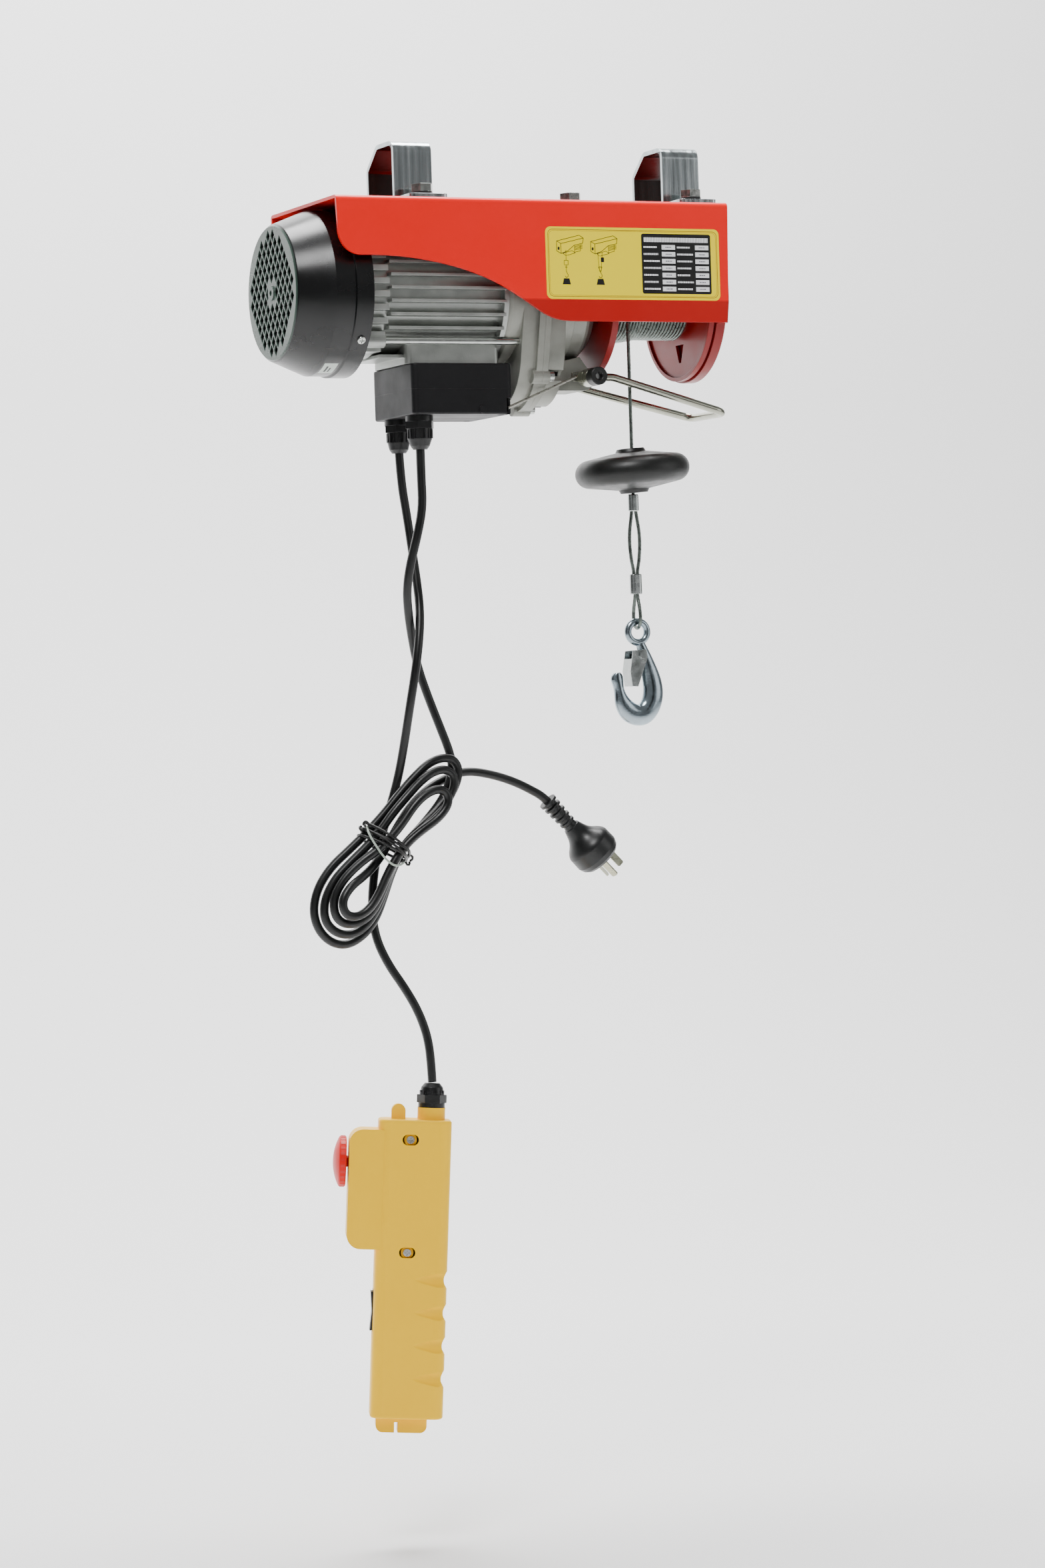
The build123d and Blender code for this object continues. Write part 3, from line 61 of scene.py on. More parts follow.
MM = 0.001
ROPE_X, ROPE_Y = 69.0, -37.1
DRUM_Z = -82.0
MOTOR_Z = -76.0
CORD_RADIUS = 3.85
TIE_AT = Vector((-164.0, -6.0, -551.0))
TIE_ALONG = Vector((0.569, 0.0, 0.822))
TIE_ACROSS = Vector((0.822, 0.0, -0.569))
PLUG_AT = Vector((-12.0, -12.0, -520.0))
PLUG_DROP = math.radians(46)
HANDSET_AT = Vector((-148.86, -15.21, -790.06))
HANDSET_TURN = Matrix.Rotation(math.radians(4), 4, "Y") @ Matrix.Rotation(math.radians(-20), 4, "Z")

# The mains cord from its gland to the top of the hank, millimetres.
POWER_ROUTE = [
    (-127, -24, -211), (-127, -24, -236), (-126, -23, -262), (-132, -22, -288), (-138.5, -19, -313),
    (-139.5, -13, -334), (-135, -4.5, -354), (-128.5, 4.5, -375), (-122, 9.5, -400), (-113, 8.5, -427),
    (-104.5, 5.5, -452), (-98, 2.5, -472), (-95.5, 1.2, -486),
]
# Each strand of the hank in the tie's own plane: along it, across it, and depth.
HANK_TURNS = [
    # down the right side, round the widest lower end and up the left
    (76, 25.5, 1.2), (60, 27, 1.2), (38, 24, 1.2), (18, 20, 1.2), (0, 19, 1.2), (-18, 21, 1.2),
    (-38, 26, 1.2), (-58, 30, 1.2), (-76, 28.5, 1.2), (-92, 20, 1.2), (-98, 6, 1.2), (-95, -10, 1.2),
    (-84, -23, 1.2), (-66, -30, 1.2), (-44, -30, 0.4), (-22, -24, -1.4), (0, -18.5, -3.4), (22, -14.5, -5.2),
    # the highest upper loop, behind the others
    (45, -12, -6.6), (64, -8.5, -7), (80, -4, -7), (91, 4, -7), (96, 14.5, -7), (90, 24.5, -7), (74, 29, -7),
    (54, 27, -7), (36, 22, -7), (16, 16.5, -7), (0, 15, -7), (-16, 16, -7), (-36, 21, -7), (-56, 24, -7),
    (-74, 22, -7), (-86, 13, -7), (-90, 0, -7), (-86, -13, -7), (-72, -22, -7), (-52, -24, -7.8),
    (-32, -20, -9.6), (-14, -15.5, -11.6), (4, -12.5, -13.4),
    # the middle loop
    (24, -11.5, -14.8), (44, -8, -15.2), (60, -5, -15.2), (74, 0.5, -15.2), (83, 9.5, -15.2),
    (82, 20.5, -15.2), (69, 26.5, -15.2), (48, 24, -15.2), (30, 18.5, -15.2), (12, 13, -15.2), (-4, 12, -15.2),
    (-20, 13, -15.2), (-40, 17, -15.2), (-58, 18.5, -15.2), (-72, 14, -15.2), (-81, 3, -15.2), (-80, -9, -15.2),
    (-68, -18.5, -15.2), (-50, -20, -16), (-30, -15.5, -17.8), (-12, -8, -20), (4, -4, -22),
    # the short loop in front
    (20, -2, -23.2), (36, -1.5, -23.4), (50, 1.5, -23.4), (61, 8, -23.4), (65, 17, -23.4), (58, 25.5, -23.4),
    (42, 24.5, -23.4), (22, 15.5, -23.4), (6, 10.5, -23.4), (-10, 9, -23.4), (-28, 10, -23.4),
    (-46, 12.5, -23.4), (-61, 11.5, -23.4), (-72, 5, -23.4), (-75, -5, -23.4), (-67, -13.5, -23.2),
    (-52, -13, -21.6),
    # back up through the middle, behind every loop
    (-36, -5.5, -17.6), (-22, -0.5, -11.4), (-8, 3, -4.8), (8, 4.5, 1.2), (24, 5.5, 5.6), (40, 7, 8.4),
    (56, 10.5, 9.6), (70, 16, 9.9),
]
TAIL_ROUTE = [
    (-99.5, 9.9, -497.5), (-88, 9.0, -492.6), (-76, 6.4, -491.6), (-63, 2.4, -494), (-50, -2.4, -498),
    (-37, -6.8, -503.6), (-25, -10, -510.4), (-18, -11.4, -514.6),
]
PENDANT_ROUTE = [
    (-127, 24, -211), (-126, 24, -237), (-123.5, 19.5, -266), (-122, 13, -299), (-121.5, 6, -326),
    (-123.5, -3.5, -349), (-128.5, -12.5, -372), (-134.5, -16.5, -400), (-139.5, -11, -435),
    (-141.5, 0, -468), (-145, 8, -497), (-154.5, 10.5, -527), (-164.5, 10.5, -556), (-170.5, 9.5, -583),
    (-172.5, 10, -609), (-171, 7, -633), (-163, 0, -656), (-151.5, -7, -676), (-142, -13, -696),
    (-136, -17.5, -717), (-134, -20, -738), (-133.5, -20, -758.7),
]


# ---------------------------------------------------------------- settings
class HoistCordSettings(bpy.types.PropertyGroup):
    """Sizes of the two cords and the tie."""

    diameter: bpy.props.FloatProperty(
        name="Cord diameter", description="Outside diameter of both cords", default=2 * CORD_RADIUS * MM,
        unit="LENGTH", subtype="DISTANCE",
    )
    tie_wire: bpy.props.FloatProperty(
        name="Tie wire", description="Thickness of one strand of the twist tie", default=0.0026,
        unit="LENGTH", subtype="DISTANCE",
    )


class HoistRopeSettings(bpy.types.PropertyGroup):
    """Sizes of the wire rope."""

    diameter: bpy.props.FloatProperty(
        name="Rope diameter", description="Outside diameter of the wire rope", default=0.0032,
        unit="LENGTH", subtype="DISTANCE",
    )
    lay: bpy.props.FloatProperty(
        name="Lay length", description="Length of rope in which a strand goes once round", default=0.021,
        unit="LENGTH", subtype="DISTANCE",
    )
    strands: bpy.props.IntProperty(
        name="Strands", description="Strands that show round the rope", default=6, min=3, max=9,
    )
    turns: bpy.props.IntProperty(
        name="Turns", description="Turns of rope in the drum's outer layer", default=27, min=1, max=40,
    )


class HoistRibSettings(bpy.types.PropertyGroup):
    """Repeats round the stop button and the cable glands."""

    button: bpy.props.IntProperty(
        name="Button ribs", description="Grip ribs round the stop button", default=26, min=6, max=60,
    )
    gland: bpy.props.IntProperty(
        name="Gland ribs", description="Grip ribs round each gland nut", default=16, min=6, max=40,
    )
    seed: bpy.props.IntProperty(
        name="Seed", description="Seed of the small difference in size between ribs", default=7,
    )


class HoistStageSettings(bpy.types.PropertyGroup):
    """Camera and light."""

    lens: bpy.props.FloatProperty(
        name="Focal length", description="Focal length of the camera", default=100.0, unit="CAMERA",
    )
    key: bpy.props.FloatProperty(
        name="Key light", description="Power of the main soft light", default=80.75, unit="POWER",
    )
    fill: bpy.props.FloatProperty(
        name="Fill light", description="Power of the soft light from the right", default=15.6, unit="POWER",
    )
    top: bpy.props.FloatProperty(
        name="Top light", description="Power of the soft light above the hoist", default=26.0, unit="POWER",
    )
    backdrop: bpy.props.FloatProperty(
        name="Backdrop light", description="Power of the light on the paper", default=286.0, unit="POWER",
    )
    sky: bpy.props.FloatProperty(
        name="Sky", description="Strength of the pale world", default=0.26, min=0.0,
    )


# ---------------------------------------------------------------- node helpers
def srgb(code):
    """Linear colour of an sRGB hex code."""
    parts = [int(code[i:i + 2], 16) / 255 for i in (0, 2, 4)]
    return [c / 12.92 if c <= 0.04045 else ((c + 0.055) / 1.055) ** 2.4 for c in parts] + [1.0]


def add_node(tree, kind, inputs=None, **settings):
    """A node with its settings, and its inputs given as values or as sockets to link from."""
    node = tree.nodes.new(kind)
    for key, value in settings.items():
        setattr(node, key, value)
    for key, value in (inputs or {}).items():
        if isinstance(value, bpy.types.NodeSocket):
            tree.links.new(value, node.inputs[key])
        else:
            node.inputs[key].default_value = value
    return node


def shade(colour, factor):
    return [min(1.0, c * factor) for c in colour[:3]] + [1.0]


def mix_colour(tree, factor, first, second):
    """Colour socket between two colours or sockets."""
    return add_node(tree, "ShaderNodeMix", {0: factor, 6: first, 7: second}, data_type="RGBA").outputs[2]


def ramp(tree, value, low, high, to_low=0.0, to_high=1.0):
    """Value socket mapped from one range to another, held at the ends."""
    numbers = {"Value": value, "From Min": low, "From Max": high, "To Min": to_low, "To Max": to_high}
    return add_node(tree, "ShaderNodeMapRange", numbers).outputs[0]


def finish(name, code, rough, metallic=0.0, tint=0.08, grain=18.0, pit=0.5, depth=0.0, stretch=(1, 1, 1),
           coat=0.0, bevel=0.5, second=None, mask=None, inside=None, specular=0.5):
    """Material with broad tone, fine roughness and pits of a real size in millimetres.

    mask is (axis, start, end) in the object's own coordinates: the colour goes over to second there.
    inside is a list of (y, z, limit) half planes in metres: where all hold, second covers the metal."""
    material = bpy.data.materials.new(name)
    material.use_nodes = True
    tree = material.node_tree
    tree.nodes.clear()
    colour = srgb(code)
    coords = add_node(tree, "ShaderNodeTexCoord").outputs["Object"]
    mapped = add_node(tree, "ShaderNodeMapping", {"Vector": coords, "Scale": stretch}).outputs[0]
    broad = add_node(tree, "ShaderNodeTexNoise", {"Vector": mapped, "Scale": 1 / (grain * MM), "Detail": 5.0})
    fine = add_node(tree, "ShaderNodeTexNoise", {"Vector": mapped, "Scale": 1 / (pit * MM), "Detail": 2.0})
    tone = ramp(tree, broad.outputs[0], 0.32, 0.68)
    base = mix_colour(tree, tone, shade(colour, 1 - tint), shade(colour, 1 + tint))
    if mask:
        axis, start, end = mask
        parts = add_node(tree, "ShaderNodeSeparateXYZ", {"Vector": coords})
        there = ramp(tree, parts.outputs[axis], start, end)
        base = mix_colour(tree, there, base, srgb(second))
    if inside:
        parts = add_node(tree, "ShaderNodeSeparateXYZ", {"Vector": coords})
        there = 1.0
        for y_part, z_part, limit in inside:
            side = add_node(tree, "ShaderNodeMath", {0: parts.outputs[1], 1: y_part}, operation="MULTIPLY")
            rise = add_node(tree, "ShaderNodeMath", {0: parts.outputs[2], 1: z_part}, operation="MULTIPLY")
            both = add_node(tree, "ShaderNodeMath", {0: side.outputs[0], 1: rise.outputs[0]}, operation="ADD")
            below = add_node(tree, "ShaderNodeMath", {0: both.outputs[0], 1: limit}, operation="LESS_THAN")
            kept = add_node(tree, "ShaderNodeMath", {0: there, 1: below.outputs[0]}, operation="MULTIPLY")
            there = kept.outputs[0]
        base = mix_colour(tree, there, base, srgb(second))
        metallic = ramp(tree, there, 0.0, 1.0, metallic, 0.2)
    shine = ramp(tree, broad.outputs[0], 0.3, 0.7, max(0.04, rough - 0.07), min(1.0, rough + 0.07))
    soft = add_node(tree, "ShaderNodeBevel", {"Radius": bevel * MM}, samples=4).outputs[0]
    bump = add_node(tree, "ShaderNodeBump", {
        "Height": fine.outputs[0], "Strength": min(1.0, depth), "Distance": pit * MM * 0.6, "Normal": soft,
    }).outputs[0]
    shader = add_node(tree, "ShaderNodeBsdfPrincipled", {
        "Base Color": base, "Roughness": shine, "Metallic": metallic, "Normal": bump,
    })
    shader.inputs["Coat Weight"].default_value = coat
    shader.inputs["Coat Roughness"].default_value = 0.12
    shader.inputs["Specular IOR Level"].default_value = specular
    add_node(tree, "ShaderNodeOutputMaterial", {"Surface": shader.outputs[0]})
    return material


def row_in(node, axis, value):
    """A row-frame coordinate in millimetres, seen in the CAD node's own coordinates."""
    point = Vector((0.0, 0.0, 0.0))
    point[axis] = value * MM
    return (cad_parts[node].matrix_world.inverted() @ point)[axis]


# ---------------------------------------------------------------- mesh helpers
def lay_down(name, mesh, material, body, replaced=(), smooth=True, ride=True):
    """An object at the origin for a mesh in the row frame, on its body."""
    obj = bpy.data.objects.new(name, mesh)
    bpy.context.scene.collection.objects.link(obj)
    if material:
        mesh.materials.clear()
        mesh.materials.append(material)
    for polygon in mesh.polygons:
        polygon.use_smooth = smooth
    if ride:
        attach(obj, body)
    if replaced:
        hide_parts(*replaced)
    return obj


def mesh_from(name, points, faces):
    """Mesh from points in millimetres."""
    mesh = bpy.data.meshes.new(name)
    mesh.from_pydata([Vector(p) * MM for p in points], [], faces)
    mesh.validate()
    mesh.update()
    return mesh


def even_path(points, step):
    """Points along a broken line at an even step, all in millimetres."""
    path = [Vector(p) for p in points]
    lengths = [(b - a).length for a, b in zip(path, path[1:])]
    count = max(2, round(sum(lengths) / step))
    out = []
    part, walked = 0, 0.0
    for i in range(count + 1):
        goal = sum(lengths) * i / count
        while part < len(lengths) - 1 and walked + lengths[part] < goal:
            walked += lengths[part]
            part += 1
        out.append(path[part].lerp(path[part + 1], min(1.0, (goal - walked) / lengths[part])))
    return out


def smooth_path(points, rounds=3):
    """Corner cutting of an open line; the ends stay."""
    path = [Vector(p) for p in points]
    for _ in range(rounds):
        cut = [path[0]]
        for a, b in zip(path, path[1:]):
            cut += [a.lerp(b, 0.25), a.lerp(b, 0.75)]
        path = cut + [path[-1]]
    return path


def twisted_tube(points, radius, lay, lobes, around):
    """Points and faces of a tube with lobes that turn once in each lay; lay 0 makes it plain."""
    verts, faces = [], []
    ahead = (points[1] - points[0]).normalized()
    side = ahead.orthogonal().normalized()
    walked = 0.0
    for i, point in enumerate(points):
        before, after = points[max(i - 1, 0)], points[min(i + 1, len(points) - 1)]
        heading = (after - before).normalized()
        side = (side - heading * side.dot(heading)).normalized()
        up = heading.cross(side)
        if i:
            walked += (point - points[i - 1]).length
        turn = 2 * math.pi * walked / lay if lay else 0.0
        for k in range(around):
            angle = 2 * math.pi * k / around
            wave = abs(math.cos(lobes * (angle - turn) / 2)) if lay else 1.0
            reach = radius * (0.80 + 0.20 * wave ** 0.7)
            verts.append(point + side * (reach * math.cos(angle)) + up * (reach * math.sin(angle)))
    for i in range(len(points) - 1):
        for k in range(around):
            a, b = i * around + k, i * around + (k + 1) % around
            faces.append((a, b, b + around, a + around))
    faces.append(tuple(range(around))[::-1])
    faces.append(tuple((len(points) - 1) * around + k for k in range(around)))
    return verts, faces


def joined(parts):
    """Points and faces of several parts as one."""
    verts, faces = [], []
    for more_verts, more_faces in parts:
        start = len(verts)
        verts += more_verts
        faces += [tuple(start + i for i in face) for face in more_faces]
    return verts, faces


def handset_point(x, y, z):
    """From the hand control's own frame to the hoist's, millimetres."""
    return HANDSET_TURN @ Vector((x, y, z)) + HANDSET_AT


# ---------------------------------------------------------------- cords
def tie_point(along, across, depth):
    """A point of the hank from its place in the tie's plane, millimetres."""
    point = TIE_AT + TIE_ALONG * along + TIE_ACROSS * across
    point.y = depth
    return point


def cord_curve(name, points, material, replaced):
    """Round cord along control points in millimetres."""
    curve = bpy.data.curves.new(name, "CURVE")
    curve.dimensions = "3D"
    curve.bevel_depth = bpy.context.scene.hoist_cord.diameter / 2
    curve.bevel_resolution = 5
    curve.resolution_u = 5
    curve.use_fill_caps = True
    spline = curve.splines.new("NURBS")
    spline.points.add(len(points) - 1)
    for target, point in zip(spline.points, points):
        target.co = [c * MM for c in point] + [1.0]
    spline.order_u = 3
    spline.use_endpoint_u = True
    curve.materials.append(material)
    obj = bpy.data.objects.new(name, curve)
    bpy.context.scene.collection.objects.link(obj)
    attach(obj, "root")
    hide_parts(*replaced)
    return obj


def curve_length(points):
    """Length in metres of the quadratic spline through control points in millimetres."""
    line = [Vector(p) for p in points]
    total, last = 0.0, line[0]
    for i in range(1, len(line) - 1):
        start = line[0] if i == 1 else (line[i - 1] + line[i]) / 2
        end = line[-1] if i == len(line) - 2 else (line[i] + line[i + 1]) / 2
        for k in range(1, 25):
            t = k / 24
            here = start * (1 - t) ** 2 + line[i] * (2 * t * (1 - t)) + end * t ** 2
            total += (here - last).length
            last = here
    return total * MM


def build_cords():
    """Mains cord with its hank, and the hand control's cord."""
    # black rubber jacket, soft sheen, a little dust
    jacket = finish("cord_jacket_rubber", "090B0B", 0.36, tint=0.2, grain=30, pit=1.2, depth=0.06, bevel=0.2)
    into_plug = Vector((math.cos(PLUG_DROP), 0, -math.sin(PLUG_DROP)))
    mains = [Vector(p) for p in POWER_ROUTE] + [tie_point(*p) for p in HANK_TURNS]
    mains += [Vector(p) for p in TAIL_ROUTE] + [PLUG_AT, PLUG_AT + into_plug * 0.9]
    power = cord_curve("mains_cord", mains, jacket, ["power_cord", "power_cord_hank", "power_cord_tail"])
    wraps = build_tie()
    curve_length(mains)
    pendant = cord_curve("control_cord", PENDANT_ROUTE, jacket, ["pendant_cord"])
    curve_length(PENDANT_ROUTE)
    print("mains cord", round(curve_length(mains), 4), "control cord", round(curve_length(PENDANT_ROUTE), 4))


# Outline of the bundle at the tie: (across, depth), millimetres.
TIE_HULL = [
    (-24.4, -3.0), (-22.5, -11.0), (-14.0, -22.5), (-6.0, -28.4), (4.0, -29.6), (12.5, -28.0), (18.0, -19.5),
    (22.5, -9.0), (25.4, 1.5), (20.5, 8.6), (6.0, 16.4), (-2.5, 16.4), (-14.0, 8.5), (-22.0, 3.6),
]


def tie_ring(grow, drift, lift):
    """A closed loop round the hank at the tie; drift slants it and lift shifts it along the hank."""
    corners = []
    for across, depth in TIE_HULL:
        corners.append(tie_point(lift + drift * across / 25, across * grow, -6 + (depth + 6) * grow))
    path = corners + corners[:1]
    for _ in range(3):
        path = [p for a, b in zip(path, path[1:]) for p in (a.lerp(b, 0.25), a.lerp(b, 0.75))]
        path.append(path[0])
    return even_path(path, 1.4) + [path[1].lerp(path[2], 0.5)]


def build_tie():
    """Black twist tie in three wraps with its twisted ends, and the pale wire ring beside it."""
    radius = bpy.context.scene.hoist_cord.tie_wire / MM / 2
    # black plastic over wire, crumpled
    black = finish("tie_black_plastic", "0A0B0B", 0.4, tint=0.2, grain=4, pit=0.8, depth=0.3, bevel=0.1)
    # pale plastic cord, slightly green in the light
    pale = finish("tie_pale_plastic", "A9B5A9", 0.35, tint=0.1, grain=6, pit=0.6, depth=0.1, bevel=0.1)
    parts = []
    for lift, drift, grow in ((-4.4, 2.4, 1.0), (-1.8, -1.6, 1.03), (0.8, 2.0, 1.01), (3.2, -2.0, 1.04)):
        parts.append(twisted_tube(tie_ring(grow, drift, lift), radius, 8.0, 2, 10))
    ends = [
        [(-23, -9.0, 4), (-26, -10, 6), (-27.8, -8, 4.6), (-26.4, -6, 2.6)],
        [(-24, -8, -2), (-27, -8, -3.4), (-28.2, -6, -1.2), (-26.6, -4, 0.6)],
        [(23, -8, -3), (26, -8.4, -5.6), (28.6, -7, -4.0), (28.0, -5, -1.4)],
        [(22.6, -8.6, 2.6), (26, -9, 3.6), (28.4, -7.6, 1.6), (27.4, -6, -0.6)],
    ]
    for end in ends:
        path = [tie_point(along, across, depth) for across, depth, along in end]
        parts.append(twisted_tube(even_path(smooth_path(path), 0.8), radius * 0.85, 6.0, 2, 10))
    wraps = lay_down("tie_wraps", mesh_from("tie_wraps", *joined(parts)), black, "root", ["cord_tie"])
    front = [(-23.5, -9, 2), (-21, -18, -4.5), (-12, -26.4, -11.5), (-2, -29.2, -16), (8, -29.2, -17),
             (14, -27.8, -13.5), (17, -24, -8.5)]
    path = [tie_point(along, across, depth) for across, depth, along in front]
    tube = twisted_tube(even_path(smooth_path(path), 1.2), 0.95, 0, 1, 10)
    ring = lay_down("tie_pale_ring", mesh_from("tie_pale_ring", *tube), pale, "root")
    return [wraps, ring]


# ---------------------------------------------------------------- rope
def rope_steel():
    """Finish of the wire rope."""
    # galvanised steel wire, greyish with dark oil between the strands
    return finish("wire_rope_steel", "6E7671", 0.3, 0.9, tint=0.3, grain=4, pit=0.8, depth=0.1, bevel=0.1)


def build_rope():
    """Hanging rope, the double strand under the first ferrule and the eye through the hook."""
    settings = bpy.context.scene.hoist_rope
    radius, lay, lobes = settings.diameter / MM / 2, settings.lay / MM, settings.strands
    steel = rope_steel()
    low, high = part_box("wire_rope_run")
    bottom, top = low[2] / MM, high[2] / MM
    line = [Vector((ROPE_X, ROPE_Y, top + (bottom - top) * i / 130)) for i in range(131)]
    run = lay_down("hanging_rope", mesh_from("hanging_rope", *twisted_tube(line, radius, lay, lobes, 18)),
                   steel, "root", ["wire_rope_run"], ride=False)
    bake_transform(run)
    parts = []
    for sign in (-1, 1):
        strand = [(sign * 1.7, 0, -266), (sign * 2.8, 0, -274), (sign * 4.7, 0, -286), (sign * 5.0, 0, -298),
                  (sign * 3.6, 0, -312), (sign * 1.8, 0, -320), (sign * 1.7, 0, -325)]
        path = [Vector((ROPE_X + x, ROPE_Y + y, z)) for x, y, z in strand]
        parts.append(twisted_tube(even_path(smooth_path(path), 1.3), radius, lay, lobes, 18))
    eye = [(0, -1.7, -339), (0, -3.2, -345), (0, -6.6, -355), (0, -7.2, -363.5), (0, -5.2, -368.6),
           (0, 0, -371.4), (0, 5.2, -368.6), (0, 7.2, -363.5), (0, 6.6, -355), (0, 3.2, -345), (0, 1.7, -339)]
    path = [Vector((ROPE_X + x, ROPE_Y + y, z)) for x, y, z in eye]
    parts.append(twisted_tube(even_path(smooth_path(path), 1.1), radius, lay, lobes, 18))
    strands = mesh_from("rope_strands", *joined(parts))
    loop = lay_down("rope_strands", strands, steel, "hook_block", ["rope_loop"])


def layer_radius(x):
    """Radius of the outer layer's centre line at a place along the drum."""
    return 30.7 + 2.9 * max(0.0, math.cos(math.pi * (x - ROPE_X) / 44))


def build_winding():
    """The rope on the drum, turn by turn, over a dark under-layer."""
    settings = bpy.context.scene.hoist_rope
    radius, lay, lobes = settings.diameter / MM / 2, settings.lay / MM, settings.strands
    low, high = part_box("rope_winding")
    start, end = low[0] / MM, high[0] / MM
    first, last = start + radius, end - radius
    per_turn = 104
    path = []
    for i in range(settings.turns * per_turn - per_turn + 1):
        along = i / (settings.turns * per_turn - per_turn)
        x = first + (last - first) * along
        angle = 2 * math.pi * i / per_turn
        reach = layer_radius(x) - 0.06
        path.append(Vector((x, reach * math.sin(angle), DRUM_Z + reach * math.cos(angle))))
    rope = twisted_tube(path, radius, lay, lobes, 12)
    verts, faces = [], []
    steps, around = 60, 48
    for i in range(steps + 1):
        x = start + 0.3 + (end - start - 0.6) * i / steps
        for k in range(around):
            angle = 2 * math.pi * k / around
            reach = layer_radius(x) - 0.7
            verts.append(Vector((x, reach * math.sin(angle), DRUM_Z + reach * math.cos(angle))))
    for i in range(steps):
        for k in range(around):
            a, b = i * around + k, i * around + (k + 1) % around
            faces.append((a, b, b + around, a + around))
    mesh = mesh_from("wound_rope", *joined([rope, (verts, faces)]))
    wound = lay_down("wound_rope", mesh, rope_steel(), "drum", ["rope_winding"])


# ---------------------------------------------------------------- plate print
PLATE_FACE = -78.0


def flat_mesh(name, shapes, lift):
    """Flat shapes of (x, z) outlines just in front of the plate."""
    verts, faces = [], []
    for outline in shapes:
        area = sum(a[0] * b[1] - b[0] * a[1] for a, b in zip(outline, outline[1:] + outline[:1]))
        ordered = outline if area > 0 else outline[::-1]
        faces.append(tuple(range(len(verts), len(verts) + len(ordered))))
        verts += [(x, PLATE_FACE - lift, z) for x, z in ordered]
    return mesh_from(name, verts, faces)


def box_shape(x0, x1, z0, z1):
    return [(x0, z0), (x1, z0), (x1, z1), (x0, z1)]


def round_box(x0, x1, z0, z1, radius):
    """Outline of a box with round corners."""
    outline = []
    for cx, cz, turn in ((x1 - radius, z1 - radius, 0), (x0 + radius, z1 - radius, 90),
                         (x0 + radius, z0 + radius, 180), (x1 - radius, z0 + radius, 270)):
        for k in range(7):
            angle = math.radians(turn + 15 * k)
            outline.append((cx + radius * math.cos(angle), cz + radius * math.sin(angle)))
    return outline


def stroke(points, width):
    """Quads along a broken line of (x, z) points."""
    shapes = []
    for (x0, z0), (x1, z1) in zip(points, points[1:]):
        length = math.hypot(x1 - x0, z1 - z0)
        nx, nz = -(z1 - z0) / length * width / 2, (x1 - x0) / length * width / 2
        shapes.append([(x0 + nx, z0 + nz), (x1 + nx, z1 + nz), (x1 - nx, z1 - nz), (x0 - nx, z0 - nz)])
    return shapes


def hoist_picture(x, falls):
    """Line picture of a hoist that holds a weight on one rope, or on two."""
    top = [(x - 8.5, -36.5), (x - 4.5, -38.6), (x + 17, -33.6), (x + 13, -31.2), (x - 8.5, -36.5)]
    end = [(x - 8.5, -36.5), (x - 8.5, -45), (x - 4.5, -47.2), (x - 4.5, -38.6)]
    front = [(x + 17, -33.6), (x + 16.4, -38), (x + 8, -40), (x + 2, -44.8), (x - 4.5, -47.2)]
    shapes = stroke(top, 0.5) + stroke(end, 0.5) + stroke(front, 0.5)
    for k in range(4):
        shapes += stroke([(x + 8.6, -41.0 - 1.0 * k), (x + 16, -39.3 - 1.0 * k)], 0.4)
    shapes += stroke([(x + 8.4, -40.2), (x + 8.4, -46), (x + 14, -44.6), (x + 14, -39.4)], 0.42)
    shapes += [round_box(x - 7.6, x - 5.8, -44.2, -41.4, 0.8)]
    shapes += stroke([(x - 3, -47), (x + 6, -44.6), (x + 9, -46.6), (x, -49), (x - 3, -47)], 0.42)
    if falls == 1:
        shapes += stroke([(x, -44), (x, -53)], 0.4)
        block = [(x - 1.8, -53), (x + 1.8, -53), (x + 1.8, -57), (x - 1.8, -57), (x - 1.8, -53)]
        shapes += stroke(block, 0.42)
        shapes += stroke([(x, -57), (x, -62)], 0.42)
        shapes += [box_shape(x - 1.1, x + 1.1, -59.2, -58.7)]
    else:
        shapes += stroke([(x - 2, -46), (x - 0.8, -62)], 0.4)
        shapes += stroke([(x + 2.2, -46), (x + 0.8, -62)], 0.4)
        shapes += [round_box(x + 0.8, x + 3.8, -54.2, -50, 0.6)]
        shapes += stroke([(x - 1.6, -58.4), (x + 1.6, -58.4), (x, -63), (x - 1.6, -58.4)], 0.5)
    hook = [(x, -62), (x + 0.6, -64), (x + 1.6, -65.6), (x + 1.2, -67.4), (x - 0.4, -67.8), (x - 1.4, -66.4)]
    shapes += stroke(hook, 0.5)
    shapes += [[(x - 2.6, -68.6), (x + 2.6, -68.6), (x + 3.9, -73.8), (x - 3.9, -73.8)]]
    return shapes


def print_line(x0, x1, z, height, seed):
    """Short dashes that stand for a line of print."""
    shapes = []
    x = x0
    step = seed
    while x < x1 - 0.6:
        step = (step * 7 + 3) % 11
        width = 0.7 + 0.11 * step
        shapes.append(box_shape(x, min(x1, x + width), z - height / 2, z + height / 2))
        x += width + 0.32
    return shapes


